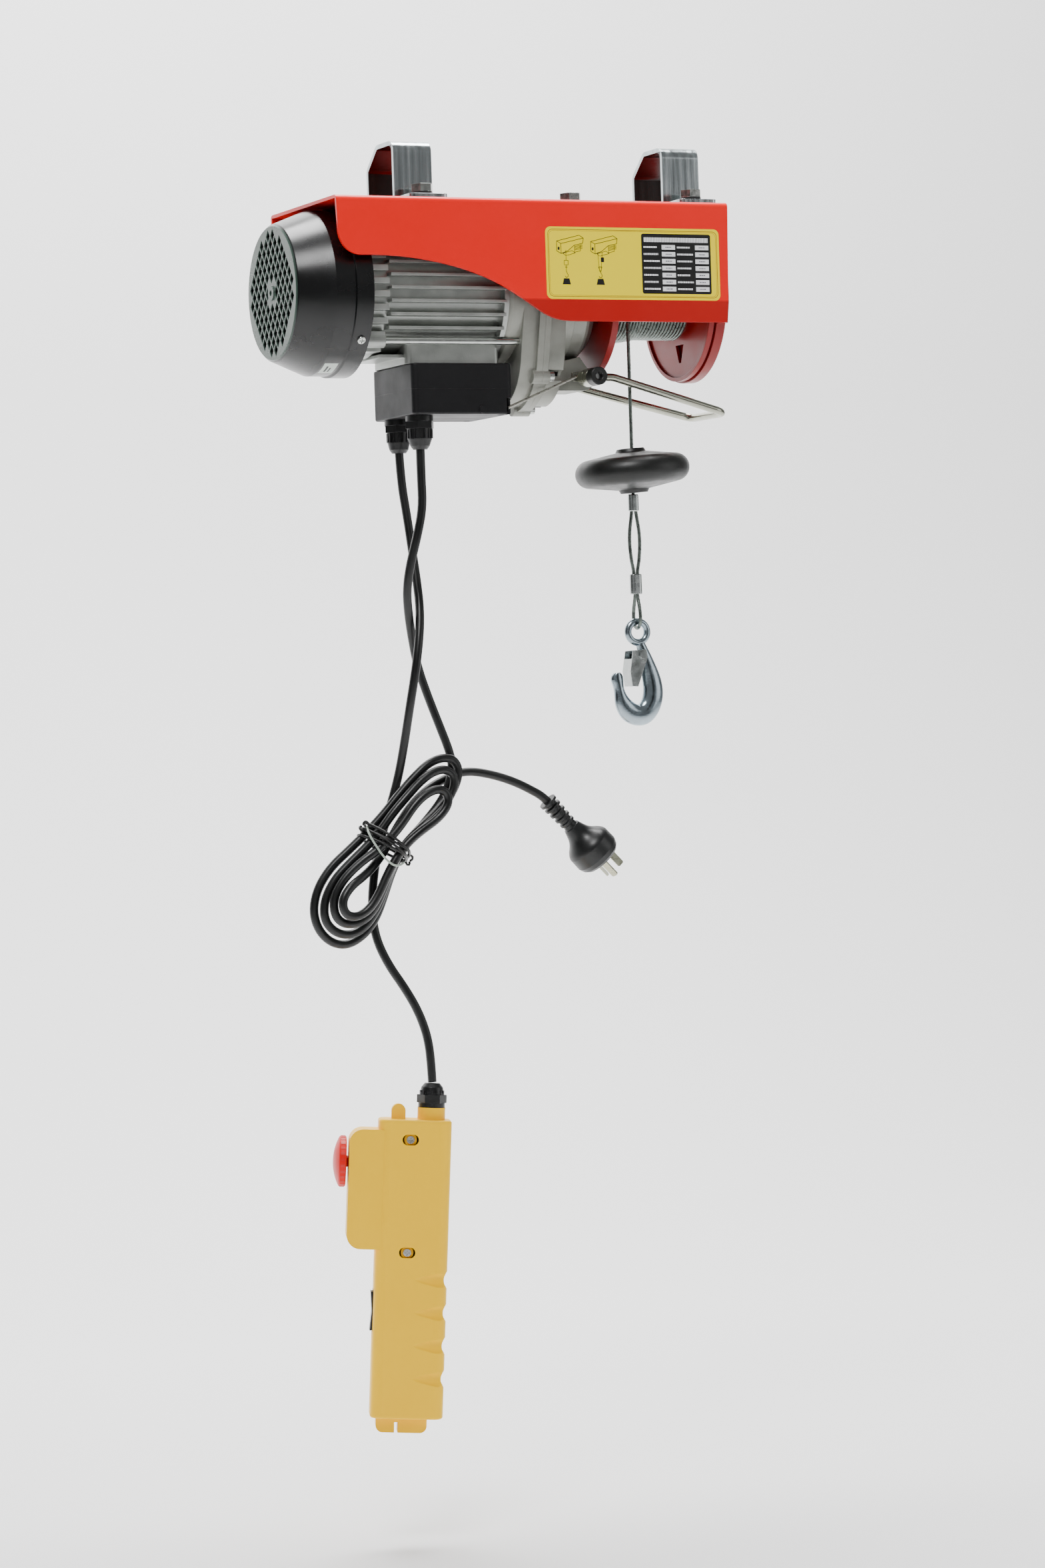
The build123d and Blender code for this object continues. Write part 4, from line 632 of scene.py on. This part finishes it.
def build_plate():
    """Yellow plate: border line, two line pictures and a black table with white boxes."""
    # brown-red ink line on the yellow plate
    brown = finish("plate_border_ink", "7A1804", 0.4, tint=0.03, bevel=0.02)
    # glossy black ink
    black = finish("plate_black_ink", "050505", 0.35, tint=0.05, bevel=0.02)
    # white ink
    white = finish("plate_white_ink", "F1F1F4", 0.4, tint=0.02, bevel=0.02)
    # grey print in the white boxes
    grey = finish("plate_grey_ink", "6E6E78", 0.4, tint=0.05, bevel=0.02)
    low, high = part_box("rating_plate")
    x0, x1, z0, z1 = low[0] / MM, high[0] / MM, low[2] / MM, high[2] / MM
    border = []
    for inset, width in ((2.3, 0.42), (3.3, 0.2)):
        ring = round_box(x0 + inset, x1 - inset, z0 + inset, z1 - inset, 4.2)
        border += stroke(ring + ring[:1], width)
    table = (x0 + 91.5, x0 + 158.6, z1 - 57, z1 - 4.8)
    dark = hoist_picture(-7.5, 1) + hoist_picture(24.9, 2) + [round_box(*table, 2.0)]
    pale = print_line(table[0] + 2.5, table[1] - 2.5, z1 - 10, 4.0, 5)
    inside = []
    for row in range(7):
        z = z1 - 16.4 - 6.05 * row
        pale += print_line(table[0] + 2, table[0] + 15.5 + (row * 5 % 4), z, 1.5, row + 2)
        pale += print_line(table[0] + 34.4, table[0] + 47 + (row * 3 % 4), z, 1.5, row + 6)
        for left in (19.6, 52.0):
            pale.append(box_shape(table[0] + left, table[0] + left + 13.0, z - 2.0, z + 2.0))
            inside += print_line(table[0] + left + 3.6, table[0] + left + 9.6, z, 0.9, row + int(left))
    layers = (("plate_border", border, 0.03, brown), ("plate_pictures", dark, 0.03, black),
              ("plate_table", pale, 0.06, white), ("plate_entries", inside, 0.09, grey))
    for name, shapes, lift, ink in layers:
        piece = lay_down(name, flat_mesh(name, shapes, lift), ink, "root", smooth=False)


def build_cover_tag():
    """Small pale inspection tag round the bottom of the fan cover."""
    # pale grey paper, slightly glossy
    paper = finish("tag_paper", "B7C0B9", 0.45, tint=0.04, grain=5, bevel=0.05)
    # black ink
    ink = finish("tag_ink", "1B1F1D", 0.5, tint=0.05, bevel=0.02)
    for name, material, reach, x0, x1, first, last in (
            ("cover_tag", paper, 71.08, -216.5, -204.0, -78.0, -62.0),
            ("cover_tag_line", ink, 71.14, -213.0, -211.2, -75.0, -66.0),
            ("cover_tag_line_two", ink, 71.14, -209.6, -208.2, -75.0, -68.0)):
        verts, faces = [], []
        for i in range(9):
            angle = math.radians(first + (last - first) * i / 8)
            y, z = -reach * math.cos(angle), MOTOR_Z + reach * math.sin(angle)
            verts += [(x0, y, z), (x1, y, z)]
        for i in range(8):
            faces.append((2 * i, 2 * i + 1, 2 * i + 3, 2 * i + 2))
        lay_down(name, mesh_from(name, verts, faces), material, "root")


# ---------------------------------------------------------------- ribs
def rib_group():
    """Geometry nodes: a ring of blocks about Z with a small seeded difference in size."""
    group = bpy.data.node_groups.new("ring_of_ribs", "GeometryNodeTree")
    for name, kind in (("Count", "NodeSocketInt"), ("Radius", "NodeSocketFloat"),
                       ("Size", "NodeSocketVector"), ("Seed", "NodeSocketInt"),
                       ("Material", "NodeSocketMaterial")):
        group.interface.new_socket(name=name, in_out="INPUT", socket_type=kind)
    group.interface.new_socket(name="Geometry", in_out="OUTPUT", socket_type="NodeSocketGeometry")
    given = add_node(group, "NodeGroupInput").outputs
    circle = add_node(group, "GeometryNodeMeshCircle", {
        "Vertices": given["Count"], "Radius": given["Radius"],
    })
    block = add_node(group, "GeometryNodeMeshCube", {"Size": given["Size"]})
    index = add_node(group, "GeometryNodeInputIndex")
    part = add_node(group, "ShaderNodeMath", {0: index.outputs[0], 1: given["Count"]}, operation="DIVIDE")
    angle = add_node(group, "ShaderNodeMath", {0: part.outputs[0], 1: 2 * math.pi}, operation="MULTIPLY")
    turn = add_node(group, "ShaderNodeCombineXYZ", {"Z": angle.outputs[0]})
    size = add_node(group, "FunctionNodeRandomValue", {
        2: 0.97, 3: 1.0, "Seed": given["Seed"],
    }, data_type="FLOAT")
    ribs = add_node(group, "GeometryNodeInstanceOnPoints", {
        "Points": circle.outputs["Mesh"], "Instance": block.outputs["Mesh"], "Rotation": turn.outputs[0],
        "Scale": size.outputs[1],
    })
    real = add_node(group, "GeometryNodeRealizeInstances", {"Geometry": ribs.outputs[0]})
    done = add_node(group, "GeometryNodeSetMaterial", {
        "Geometry": real.outputs[0], "Material": given["Material"],
    })
    add_node(group, "NodeGroupOutput", {"Geometry": done.outputs[0]})
    return group


def ribs_at(name, group, values, place, body):
    """One ring of ribs, made a plain mesh and put in its place."""
    source = bpy.data.objects.new(name + "_source", bpy.data.meshes.new(name + "_source"))
    bpy.context.scene.collection.objects.link(source)
    modifier = source.modifiers.new("ribs", "NODES")
    modifier.node_group = group
    for item in group.interface.items_tree:
        if item.in_out == "INPUT" and item.name in values:
            modifier[item.identifier] = values[item.name]
    depsgraph = bpy.context.evaluated_depsgraph_get()
    depsgraph.update()
    mesh = bpy.data.meshes.new_from_object(source.evaluated_get(depsgraph))
    source.modifiers.remove(modifier)
    bpy.data.objects.remove(source)
    if not mesh.vertices:
        raise RuntimeError(f"{name}: the ring of ribs came out empty")
    mesh.name = name
    mesh.transform(place)
    piece = lay_down(name, mesh, values["Material"], body, smooth=False)
    return piece


def build_ribs():
    """Grip ribs of the stop button and of the three gland nuts."""
    settings = bpy.context.scene.hoist_ribs
    group = rib_group()
    # red plastic of the stop button
    red = finish("button_red_plastic", "CC0A06", 0.38, tint=0.05, grain=20, bevel=0.3)
    # black plastic of the glands
    black = finish("gland_black_plastic", "08090A", 0.38, tint=0.12, grain=10, bevel=0.3)
    middle = handset_point(-61.65, 0, -38)
    place = Matrix.Translation(middle * MM) @ HANDSET_TURN @ Matrix.Rotation(math.pi / 2, 4, "Y")
    ribs_at("stop_button_ribs", group, {
        "Count": settings.button, "Radius": 0.0216, "Size": (0.0012, 0.0022, 0.0042),
        "Seed": settings.seed, "Material": red,
    }, place, "estop")
    nuts = (("gland_ribs_mains", Vector((-127, -24, -198.5)), 0.0107),
            ("gland_ribs_control", Vector((-127, 24, -198.5)), 0.0099))
    for name, middle, radius in nuts:
        ribs_at(name, group, {
            "Count": settings.gland, "Radius": radius, "Size": (0.0014, 0.0011, 0.0082),
            "Seed": settings.seed, "Material": black,
        }, Matrix.Translation(middle * MM), "root")
    middle = handset_point(14, 0, 23.4)
    place = Matrix.Translation(middle * MM) @ HANDSET_TURN
    ribs_at("gland_ribs_handset", group, {
        "Count": settings.gland, "Radius": 0.0101, "Size": (0.0012, 0.0011, 0.0036),
        "Seed": settings.seed, "Material": black,
    }, place, "root")


# ---------------------------------------------------------------- finishes of the CAD nodes
def cover(names, material):
    """Give CAD nodes one material."""
    for name in names:
        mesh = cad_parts[name].data
        mesh.materials.clear()
        mesh.materials.append(material)


def build_paint():
    """Red enamel, the yellow plate and the zinc straps and bolts."""
    # bright red gloss enamel with faint orange peel; the lip under the bend is in shade
    cover(["frame_channel"], finish(
        "red_enamel", "F20E04", 0.34, tint=0.008, grain=90, pit=1.6, depth=0.04, coat=0.12, bevel=0.9,
        specular=0.3, second="B50A05",
        mask=(2, row_in("frame_channel", 2, -85.6), row_in("frame_channel", 2, -87.4))))
    # the same enamel on the drum and the end plate, painted darker as shade
    cover(["rope_drum", "drum_end_plate"], finish(
        "red_enamel_drum_painted_shade", "8C0604", 0.34, tint=0.05, grain=25, pit=1.6, depth=0.05, coat=0.1, bevel=0.8,
        specular=0.35))
    # lemon yellow printed plate
    cover(["rating_plate"], finish(
        "plate_yellow", "FFE600", 0.4, tint=0.006, grain=60, bevel=0.2, specular=0.12))
    # bright zinc with streaks down the straps; the faces inside the straps are painted dark brown-black and
    # less metallic
    cover(["hanger_bracket_left", "hanger_bracket_right"], finish(
        "zinc_strap", "BCC4C6", 0.2, 1.0, tint=0.22, grain=4.5, pit=0.9, depth=0.05, stretch=(1, 1, 0.04),
        bevel=0.7, second="1B1512",
        inside=[(1, 0, 0.0272), (-1, 0, 0.0272), (0, 1, 0.0502), (0.6207, 0.784, 0.0429), (0, -1, -0.0002)]))
    # bright zinc on bolts, rods and screws
    cover(["frame_bolts", "tie_rods", "gearbox_bolts", "fan_cover_screws", "handset_screws", "box_screws"],
          finish("zinc_bolt", "BFC2BE", 0.2, 1.0, tint=0.1, grain=6, pit=0.9, depth=0.03, bevel=0.5))
    # black rubbery spring washers
    cover(["spring_washers"], finish("washer_black", "0E0D0D", 0.5, tint=0.15, grain=4, bevel=0.3))


def build_castings():
    """Motor and gearbox castings and the metal inside them."""
    # shot-blasted aluminium, light grey, fine sandy skin
    cover(["motor_housing", "motor_end_shield"], finish(
        "cast_aluminium", "A6A9A5", 0.38, 0.8, tint=0.1, grain=14, pit=0.6, depth=0.22, bevel=0.7))
    # the gearbox casting is duller and a little warmer
    cover(["gearbox_housing", "gearbox_cover"], finish(
        "cast_gearbox", "8F9089", 0.46, 0.7, tint=0.12, grain=18, pit=0.8, depth=0.3, bevel=1.0))
    # turned steel
    cover(["rotor_shaft", "rotor_core", "brake_disc", "shaft_bearings", "brake_coil", "idler_shaft",
           "idler_gear", "output_shaft", "output_gear", "lever_shaft"],
          finish("machined_steel", "9EA09F", 0.3, 1.0, tint=0.1, grain=8, pit=0.4, depth=0.08, bevel=0.2))
    # enamelled copper winding
    cover(["stator"], finish(
        "copper_winding", "8A4A2A", 0.4, 0.8, tint=0.2, grain=3, pit=0.9, depth=0.4, bevel=0.2))
    # drawn spring and rod steel
    cover(["lever_spring", "switch_rod"], finish(
        "drawn_steel", "A5A49B", 0.3, 1.0, tint=0.12, grain=4, pit=0.4, depth=0.1, bevel=0.2))


def build_lifting():
    """Ferrules, hook, latch, lever and the rubber disc."""
    # bluish bright zinc on the forged hook, faint hammer marks
    cover(["load_hook"], finish(
        "zinc_hook", "9FACB4", 0.2, 1.0, tint=0.1, grain=9, pit=3.0, depth=0.06, bevel=0.5))
    # zinc sheet of the latch, its pin and the ferrules
    cover(["hook_latch", "latch_pin", "rope_ferrules"], finish(
        "zinc_sheet", "B4B9B8", 0.25, 1.0, tint=0.1, grain=8, pit=0.9, depth=0.03, bevel=0.4))
    # zinc rod of the limit lever, warmer and a little stained
    cover(["limit_lever"], finish(
        "zinc_lever", "A9AA9C", 0.22, 1.0, tint=0.1, grain=14, pit=0.9, depth=0.03, bevel=0.5))
    # matt black rubber with a scuffed skin
    cover(["limit_weight", "lever_end_cap"], finish(
        "disc_rubber", "080A09", 0.42, tint=0.22, grain=9, pit=0.8, depth=0.18, bevel=0.7))


def build_plastics():
    """Fan cover, switch box, glands, plug and hand control."""
    # glossy black plastic; the grille face catches the sky and looks grey-green
    cover(["fan_cover"], finish(
        "fan_cover_plastic", "060708", 0.27, tint=0.12, grain=40, pit=0.8, depth=0.05, bevel=0.7,
        second="3F5148", mask=(0, row_in("fan_cover", 0, -248.4), row_in("fan_cover", 0, -249.6))))
    # black plastic of the fan and of the switch parts inside the covers
    cover(["cooling_fan", "run_capacitor", "limit_switch", "terminal_block", "handset_switches"],
          finish("inner_black_plastic", "060606", 0.5, tint=0.1, grain=10, bevel=0.3))
    # matt black box, slightly purple
    cover(["switch_box_base", "switch_box_lid"], finish(
        "box_plastic", "08080B", 0.5, tint=0.06, grain=30, pit=0.7, depth=0.16, bevel=0.8, specular=0.3))
    # black nylon glands and the rocker
    cover(["cable_glands", "rocker_button"], finish(
        "gland_nylon", "08090A", 0.36, tint=0.12, grain=12, pit=0.7, depth=0.08, bevel=0.4))
    # soft black moulded plug
    cover(["plug_body"], finish(
        "plug_rubber", "090B0C", 0.38, tint=0.15, grain=16, pit=0.9, depth=0.08, bevel=0.7))
    # nickelled brass blades
    cover(["plug_pins"], finish(
        "plug_blades", "B9BAA4", 0.3, 0.9, tint=0.08, grain=6, pit=0.4, depth=0.06, bevel=0.3))
    # warm yellow shell of the hand control, satin
    cover(["handset_shell_near", "handset_shell_far"], finish(
        "handset_yellow", "FFC800", 0.4, tint=0.02, grain=60, pit=0.7, depth=0.05, bevel=0.9, specular=0.12))
    # smooth red plastic of the mushroom
    cover(["estop_button"], finish(
        "stop_red_plastic", "D80A06", 0.34, tint=0.04, grain=20, bevel=0.6, specular=0.2))


# ---------------------------------------------------------------- stage
def soft_light(name, place, aim, size, power):
    """Square area light that looks at a point."""
    light = bpy.data.lights.new(name, "AREA")
    light.shape = "SQUARE"
    light.size = size
    light.energy = power
    obj = bpy.data.objects.new(name, light)
    obj.location = place
    obj.rotation_euler = (Vector(aim) - Vector(place)).to_track_quat("-Z", "Y").to_euler()
    bpy.context.scene.collection.objects.link(obj)


def build_camera():
    """Camera at the hoist's left front, level with the hanging cord."""
    data = bpy.data.cameras.new("camera")
    data.lens = bpy.context.scene.hoist_stage.lens
    data.sensor_width = 36.0
    camera = bpy.data.objects.new("camera", data)
    right = Vector((0.91253, -0.40771, -0.03241))
    up = Vector((0.03519, -0.00069, 0.99938))
    back = Vector((-0.40748, -0.91311, 0.01372))
    matrix = Matrix((right, up, back)).transposed().to_4x4()
    matrix.translation = Vector((-1.58913, -3.49399, -0.45185))
    camera.matrix_world = matrix
    bpy.context.scene.collection.objects.link(camera)
    bpy.context.scene.camera = camera


def build_stage():
    """White sweep, pale world, four soft lights and three dark cards."""
    settings = bpy.context.scene.hoist_stage
    # white seamless paper
    paper = finish("studio_paper", "F4F4F4", 0.85, tint=0.004, grain=400, bevel=0.0)
    floor_z, bend_y, bend_radius = -1160, 1200, 1200
    profile = [(-4500, floor_z), (bend_y, floor_z)]
    for angle in range(10, 91, 10):
        out, up = math.sin(math.radians(angle)), 1 - math.cos(math.radians(angle))
        profile.append((bend_y + bend_radius * out, floor_z + bend_radius * up))
    profile.append((bend_y + bend_radius, 4500))
    verts = [(side * 5000, y, z) for y, z in profile for side in (-1, 1)]
    faces = [(2 * i, 2 * i + 1, 2 * i + 3, 2 * i + 2) for i in range(len(profile) - 1)]
    sweep = lay_down("studio_sweep", mesh_from("studio_sweep", verts, faces), paper, None, ride=False)
    # the paper isn't seen from behind, so that the back of the hoist can be looked at
    tree = paper.node_tree
    output = next(node for node in tree.nodes if node.type == "OUTPUT_MATERIAL")
    front = output.inputs["Surface"].links[0].from_socket
    behind = add_node(tree, "ShaderNodeNewGeometry").outputs["Backfacing"]
    clear = add_node(tree, "ShaderNodeBsdfTransparent").outputs[0]
    both = add_node(tree, "ShaderNodeMixShader", {0: behind, 1: front, 2: clear})
    tree.links.new(both.outputs[0], output.inputs["Surface"])
    world = bpy.data.worlds.new("studio")
    world.use_nodes = True
    world.node_tree.nodes.clear()
    sky = add_node(world.node_tree, "ShaderNodeBackground", {
        "Color": (1.0, 1.0, 1.0, 1.0), "Strength": settings.sky,
    })
    add_node(world.node_tree, "ShaderNodeOutputWorld", {"Surface": sky.outputs[0]})
    bpy.context.scene.world = world
    soft_light("key_light", (-1.5, -1.9, 2.3), (0, 0, -0.3), 1.1, settings.key)
    soft_light("fill_light", (2.2, -1.9, 0.2), (0, 0, -0.4), 1.8, settings.fill)
    soft_light("backdrop_light", (0.2, 0.7, 2.6), (0.6, 2.4, 0.2), 2.0, settings.backdrop)
    # black felt cards out of the picture, that the bright metal mirrors
    felt = finish("studio_felt", "050505", 0.9, tint=0.01, grain=300, bevel=0.0)
    half_width, half_height = 700, 900
    for name, x, y, turn in (("card_left", -2700, -400, 0.0), ("card_right", 2500, -3400, 0.9),
                             ("card_front", 600, -4600, 1.57)):
        along = Vector((math.sin(turn), math.cos(turn), 0)) * half_width
        centre = Vector((x, y, 0))
        corners = [centre - along, centre + along]
        points = [Vector((c.x, c.y, z)) for z in (-half_height, half_height) for c in corners]
        card = lay_down(name, mesh_from(name, points, [(0, 1, 3, 2)]), felt, None, ride=False)
        card.visible_camera = False
    soft_light("top_light", (0.2, 0.4, 2.2), (0, 0, -0.2), 1.6, settings.top)


# ---------------------------------------------------------------- operators
class HOIST_OT_camera(bpy.types.Operator):
    """Put the camera at the hoist's left front"""

    bl_idname = "hoist.camera"
    bl_label = "Camera"

    def execute(self, context):
        build_camera()
        return {"FINISHED"}


class HOIST_OT_cords(bpy.types.Operator):
    """Lay the mains cord with its tied hank, and the hand control's cord"""

    bl_idname = "hoist.cords"
    bl_label = "Cords and tie"

    def execute(self, context):
        build_cords()
        return {"FINISHED"}


class HOIST_OT_rope(bpy.types.Operator):
    """Make the hanging wire rope with its strands and its eye"""

    bl_idname = "hoist.rope"
    bl_label = "Hanging rope"

    def execute(self, context):
        build_rope()
        return {"FINISHED"}


class HOIST_OT_winding(bpy.types.Operator):
    """Wind the rope on the drum"""

    bl_idname = "hoist.winding"
    bl_label = "Wound rope"

    def execute(self, context):
        build_winding()
        return {"FINISHED"}


class HOIST_OT_plate(bpy.types.Operator):
    """Print the rating plate with pictures and a table, without words"""

    bl_idname = "hoist.plate"
    bl_label = "Plate print"

    def execute(self, context):
        build_plate()
        return {"FINISHED"}


class HOIST_OT_tag(bpy.types.Operator):
    """Stick the small tag on the fan cover"""

    bl_idname = "hoist.tag"
    bl_label = "Cover tag"

    def execute(self, context):
        build_cover_tag()
        return {"FINISHED"}


class HOIST_OT_ribs(bpy.types.Operator):
    """Set the grip ribs round the stop button and the gland nuts"""

    bl_idname = "hoist.ribs"
    bl_label = "Grip ribs"

    def execute(self, context):
        build_ribs()
        return {"FINISHED"}


class HOIST_OT_paint(bpy.types.Operator):
    """Paint the frame and drum, and plate the straps and bolts"""

    bl_idname = "hoist.paint"
    bl_label = "Paint and zinc"

    def execute(self, context):
        build_paint()
        return {"FINISHED"}


class HOIST_OT_castings(bpy.types.Operator):
    """Finish the castings and the steel inside"""

    bl_idname = "hoist.castings"
    bl_label = "Castings and steel"

    def execute(self, context):
        build_castings()
        return {"FINISHED"}


class HOIST_OT_lifting(bpy.types.Operator):
    """Finish the hook, ferrules, lever and rubber disc"""

    bl_idname = "hoist.lifting"
    bl_label = "Lifting gear"

    def execute(self, context):
        build_lifting()
        return {"FINISHED"}


class HOIST_OT_plastics(bpy.types.Operator):
    """Finish the plastic and rubber parts"""

    bl_idname = "hoist.plastics"
    bl_label = "Plastic parts"

    def execute(self, context):
        build_plastics()
        return {"FINISHED"}


class HOIST_OT_stage(bpy.types.Operator):
    """Set the paper sweep and the soft lights"""

    bl_idname = "hoist.stage"
    bl_label = "Studio"

    def execute(self, context):
        build_stage()
        return {"FINISHED"}


STEPS = ("camera", "cords", "rope", "winding", "plate", "tag", "ribs", "paint", "castings", "lifting",
         "plastics", "stage")


class HOIST_PT_panel(bpy.types.Panel):
    """Buttons and sizes of the hoist"""

    bl_label = "Wire Rope Hoist"
    bl_idname = "HOIST_PT_panel"
    bl_space_type = "VIEW_3D"
    bl_region_type = "UI"
    bl_category = "Hoist"

    def draw(self, context):
        column = self.layout.column()
        for step in STEPS:
            column.operator("hoist." + step)
        scene = context.scene
        for group in (scene.hoist_cord, scene.hoist_rope, scene.hoist_ribs, scene.hoist_stage):
            for name in group.bl_rna.properties.keys():
                if name not in ("rna_type", "name"):
                    column.prop(group, name)


CLASSES = (
    HoistCordSettings, HoistRopeSettings, HoistRibSettings, HoistStageSettings,
    HOIST_OT_camera, HOIST_OT_cords, HOIST_OT_rope, HOIST_OT_winding, HOIST_OT_plate, HOIST_OT_tag,
    HOIST_OT_ribs, HOIST_OT_paint, HOIST_OT_castings, HOIST_OT_lifting, HOIST_OT_plastics, HOIST_OT_stage,
    HOIST_PT_panel,
)


def register():
    for cls in CLASSES:
        bpy.utils.register_class(cls)
    bpy.types.Scene.hoist_cord = bpy.props.PointerProperty(type=HoistCordSettings)
    bpy.types.Scene.hoist_rope = bpy.props.PointerProperty(type=HoistRopeSettings)
    bpy.types.Scene.hoist_ribs = bpy.props.PointerProperty(type=HoistRibSettings)
    bpy.types.Scene.hoist_stage = bpy.props.PointerProperty(type=HoistStageSettings)


def unregister():
    for name in ("hoist_cord", "hoist_rope", "hoist_ribs", "hoist_stage"):
        delattr(bpy.types.Scene, name)
    for cls in reversed(CLASSES):
        bpy.utils.unregister_class(cls)


def main():
    register()
    for step in STEPS:
        getattr(bpy.ops.hoist, step)()


if __name__ == "__main__":
    main()
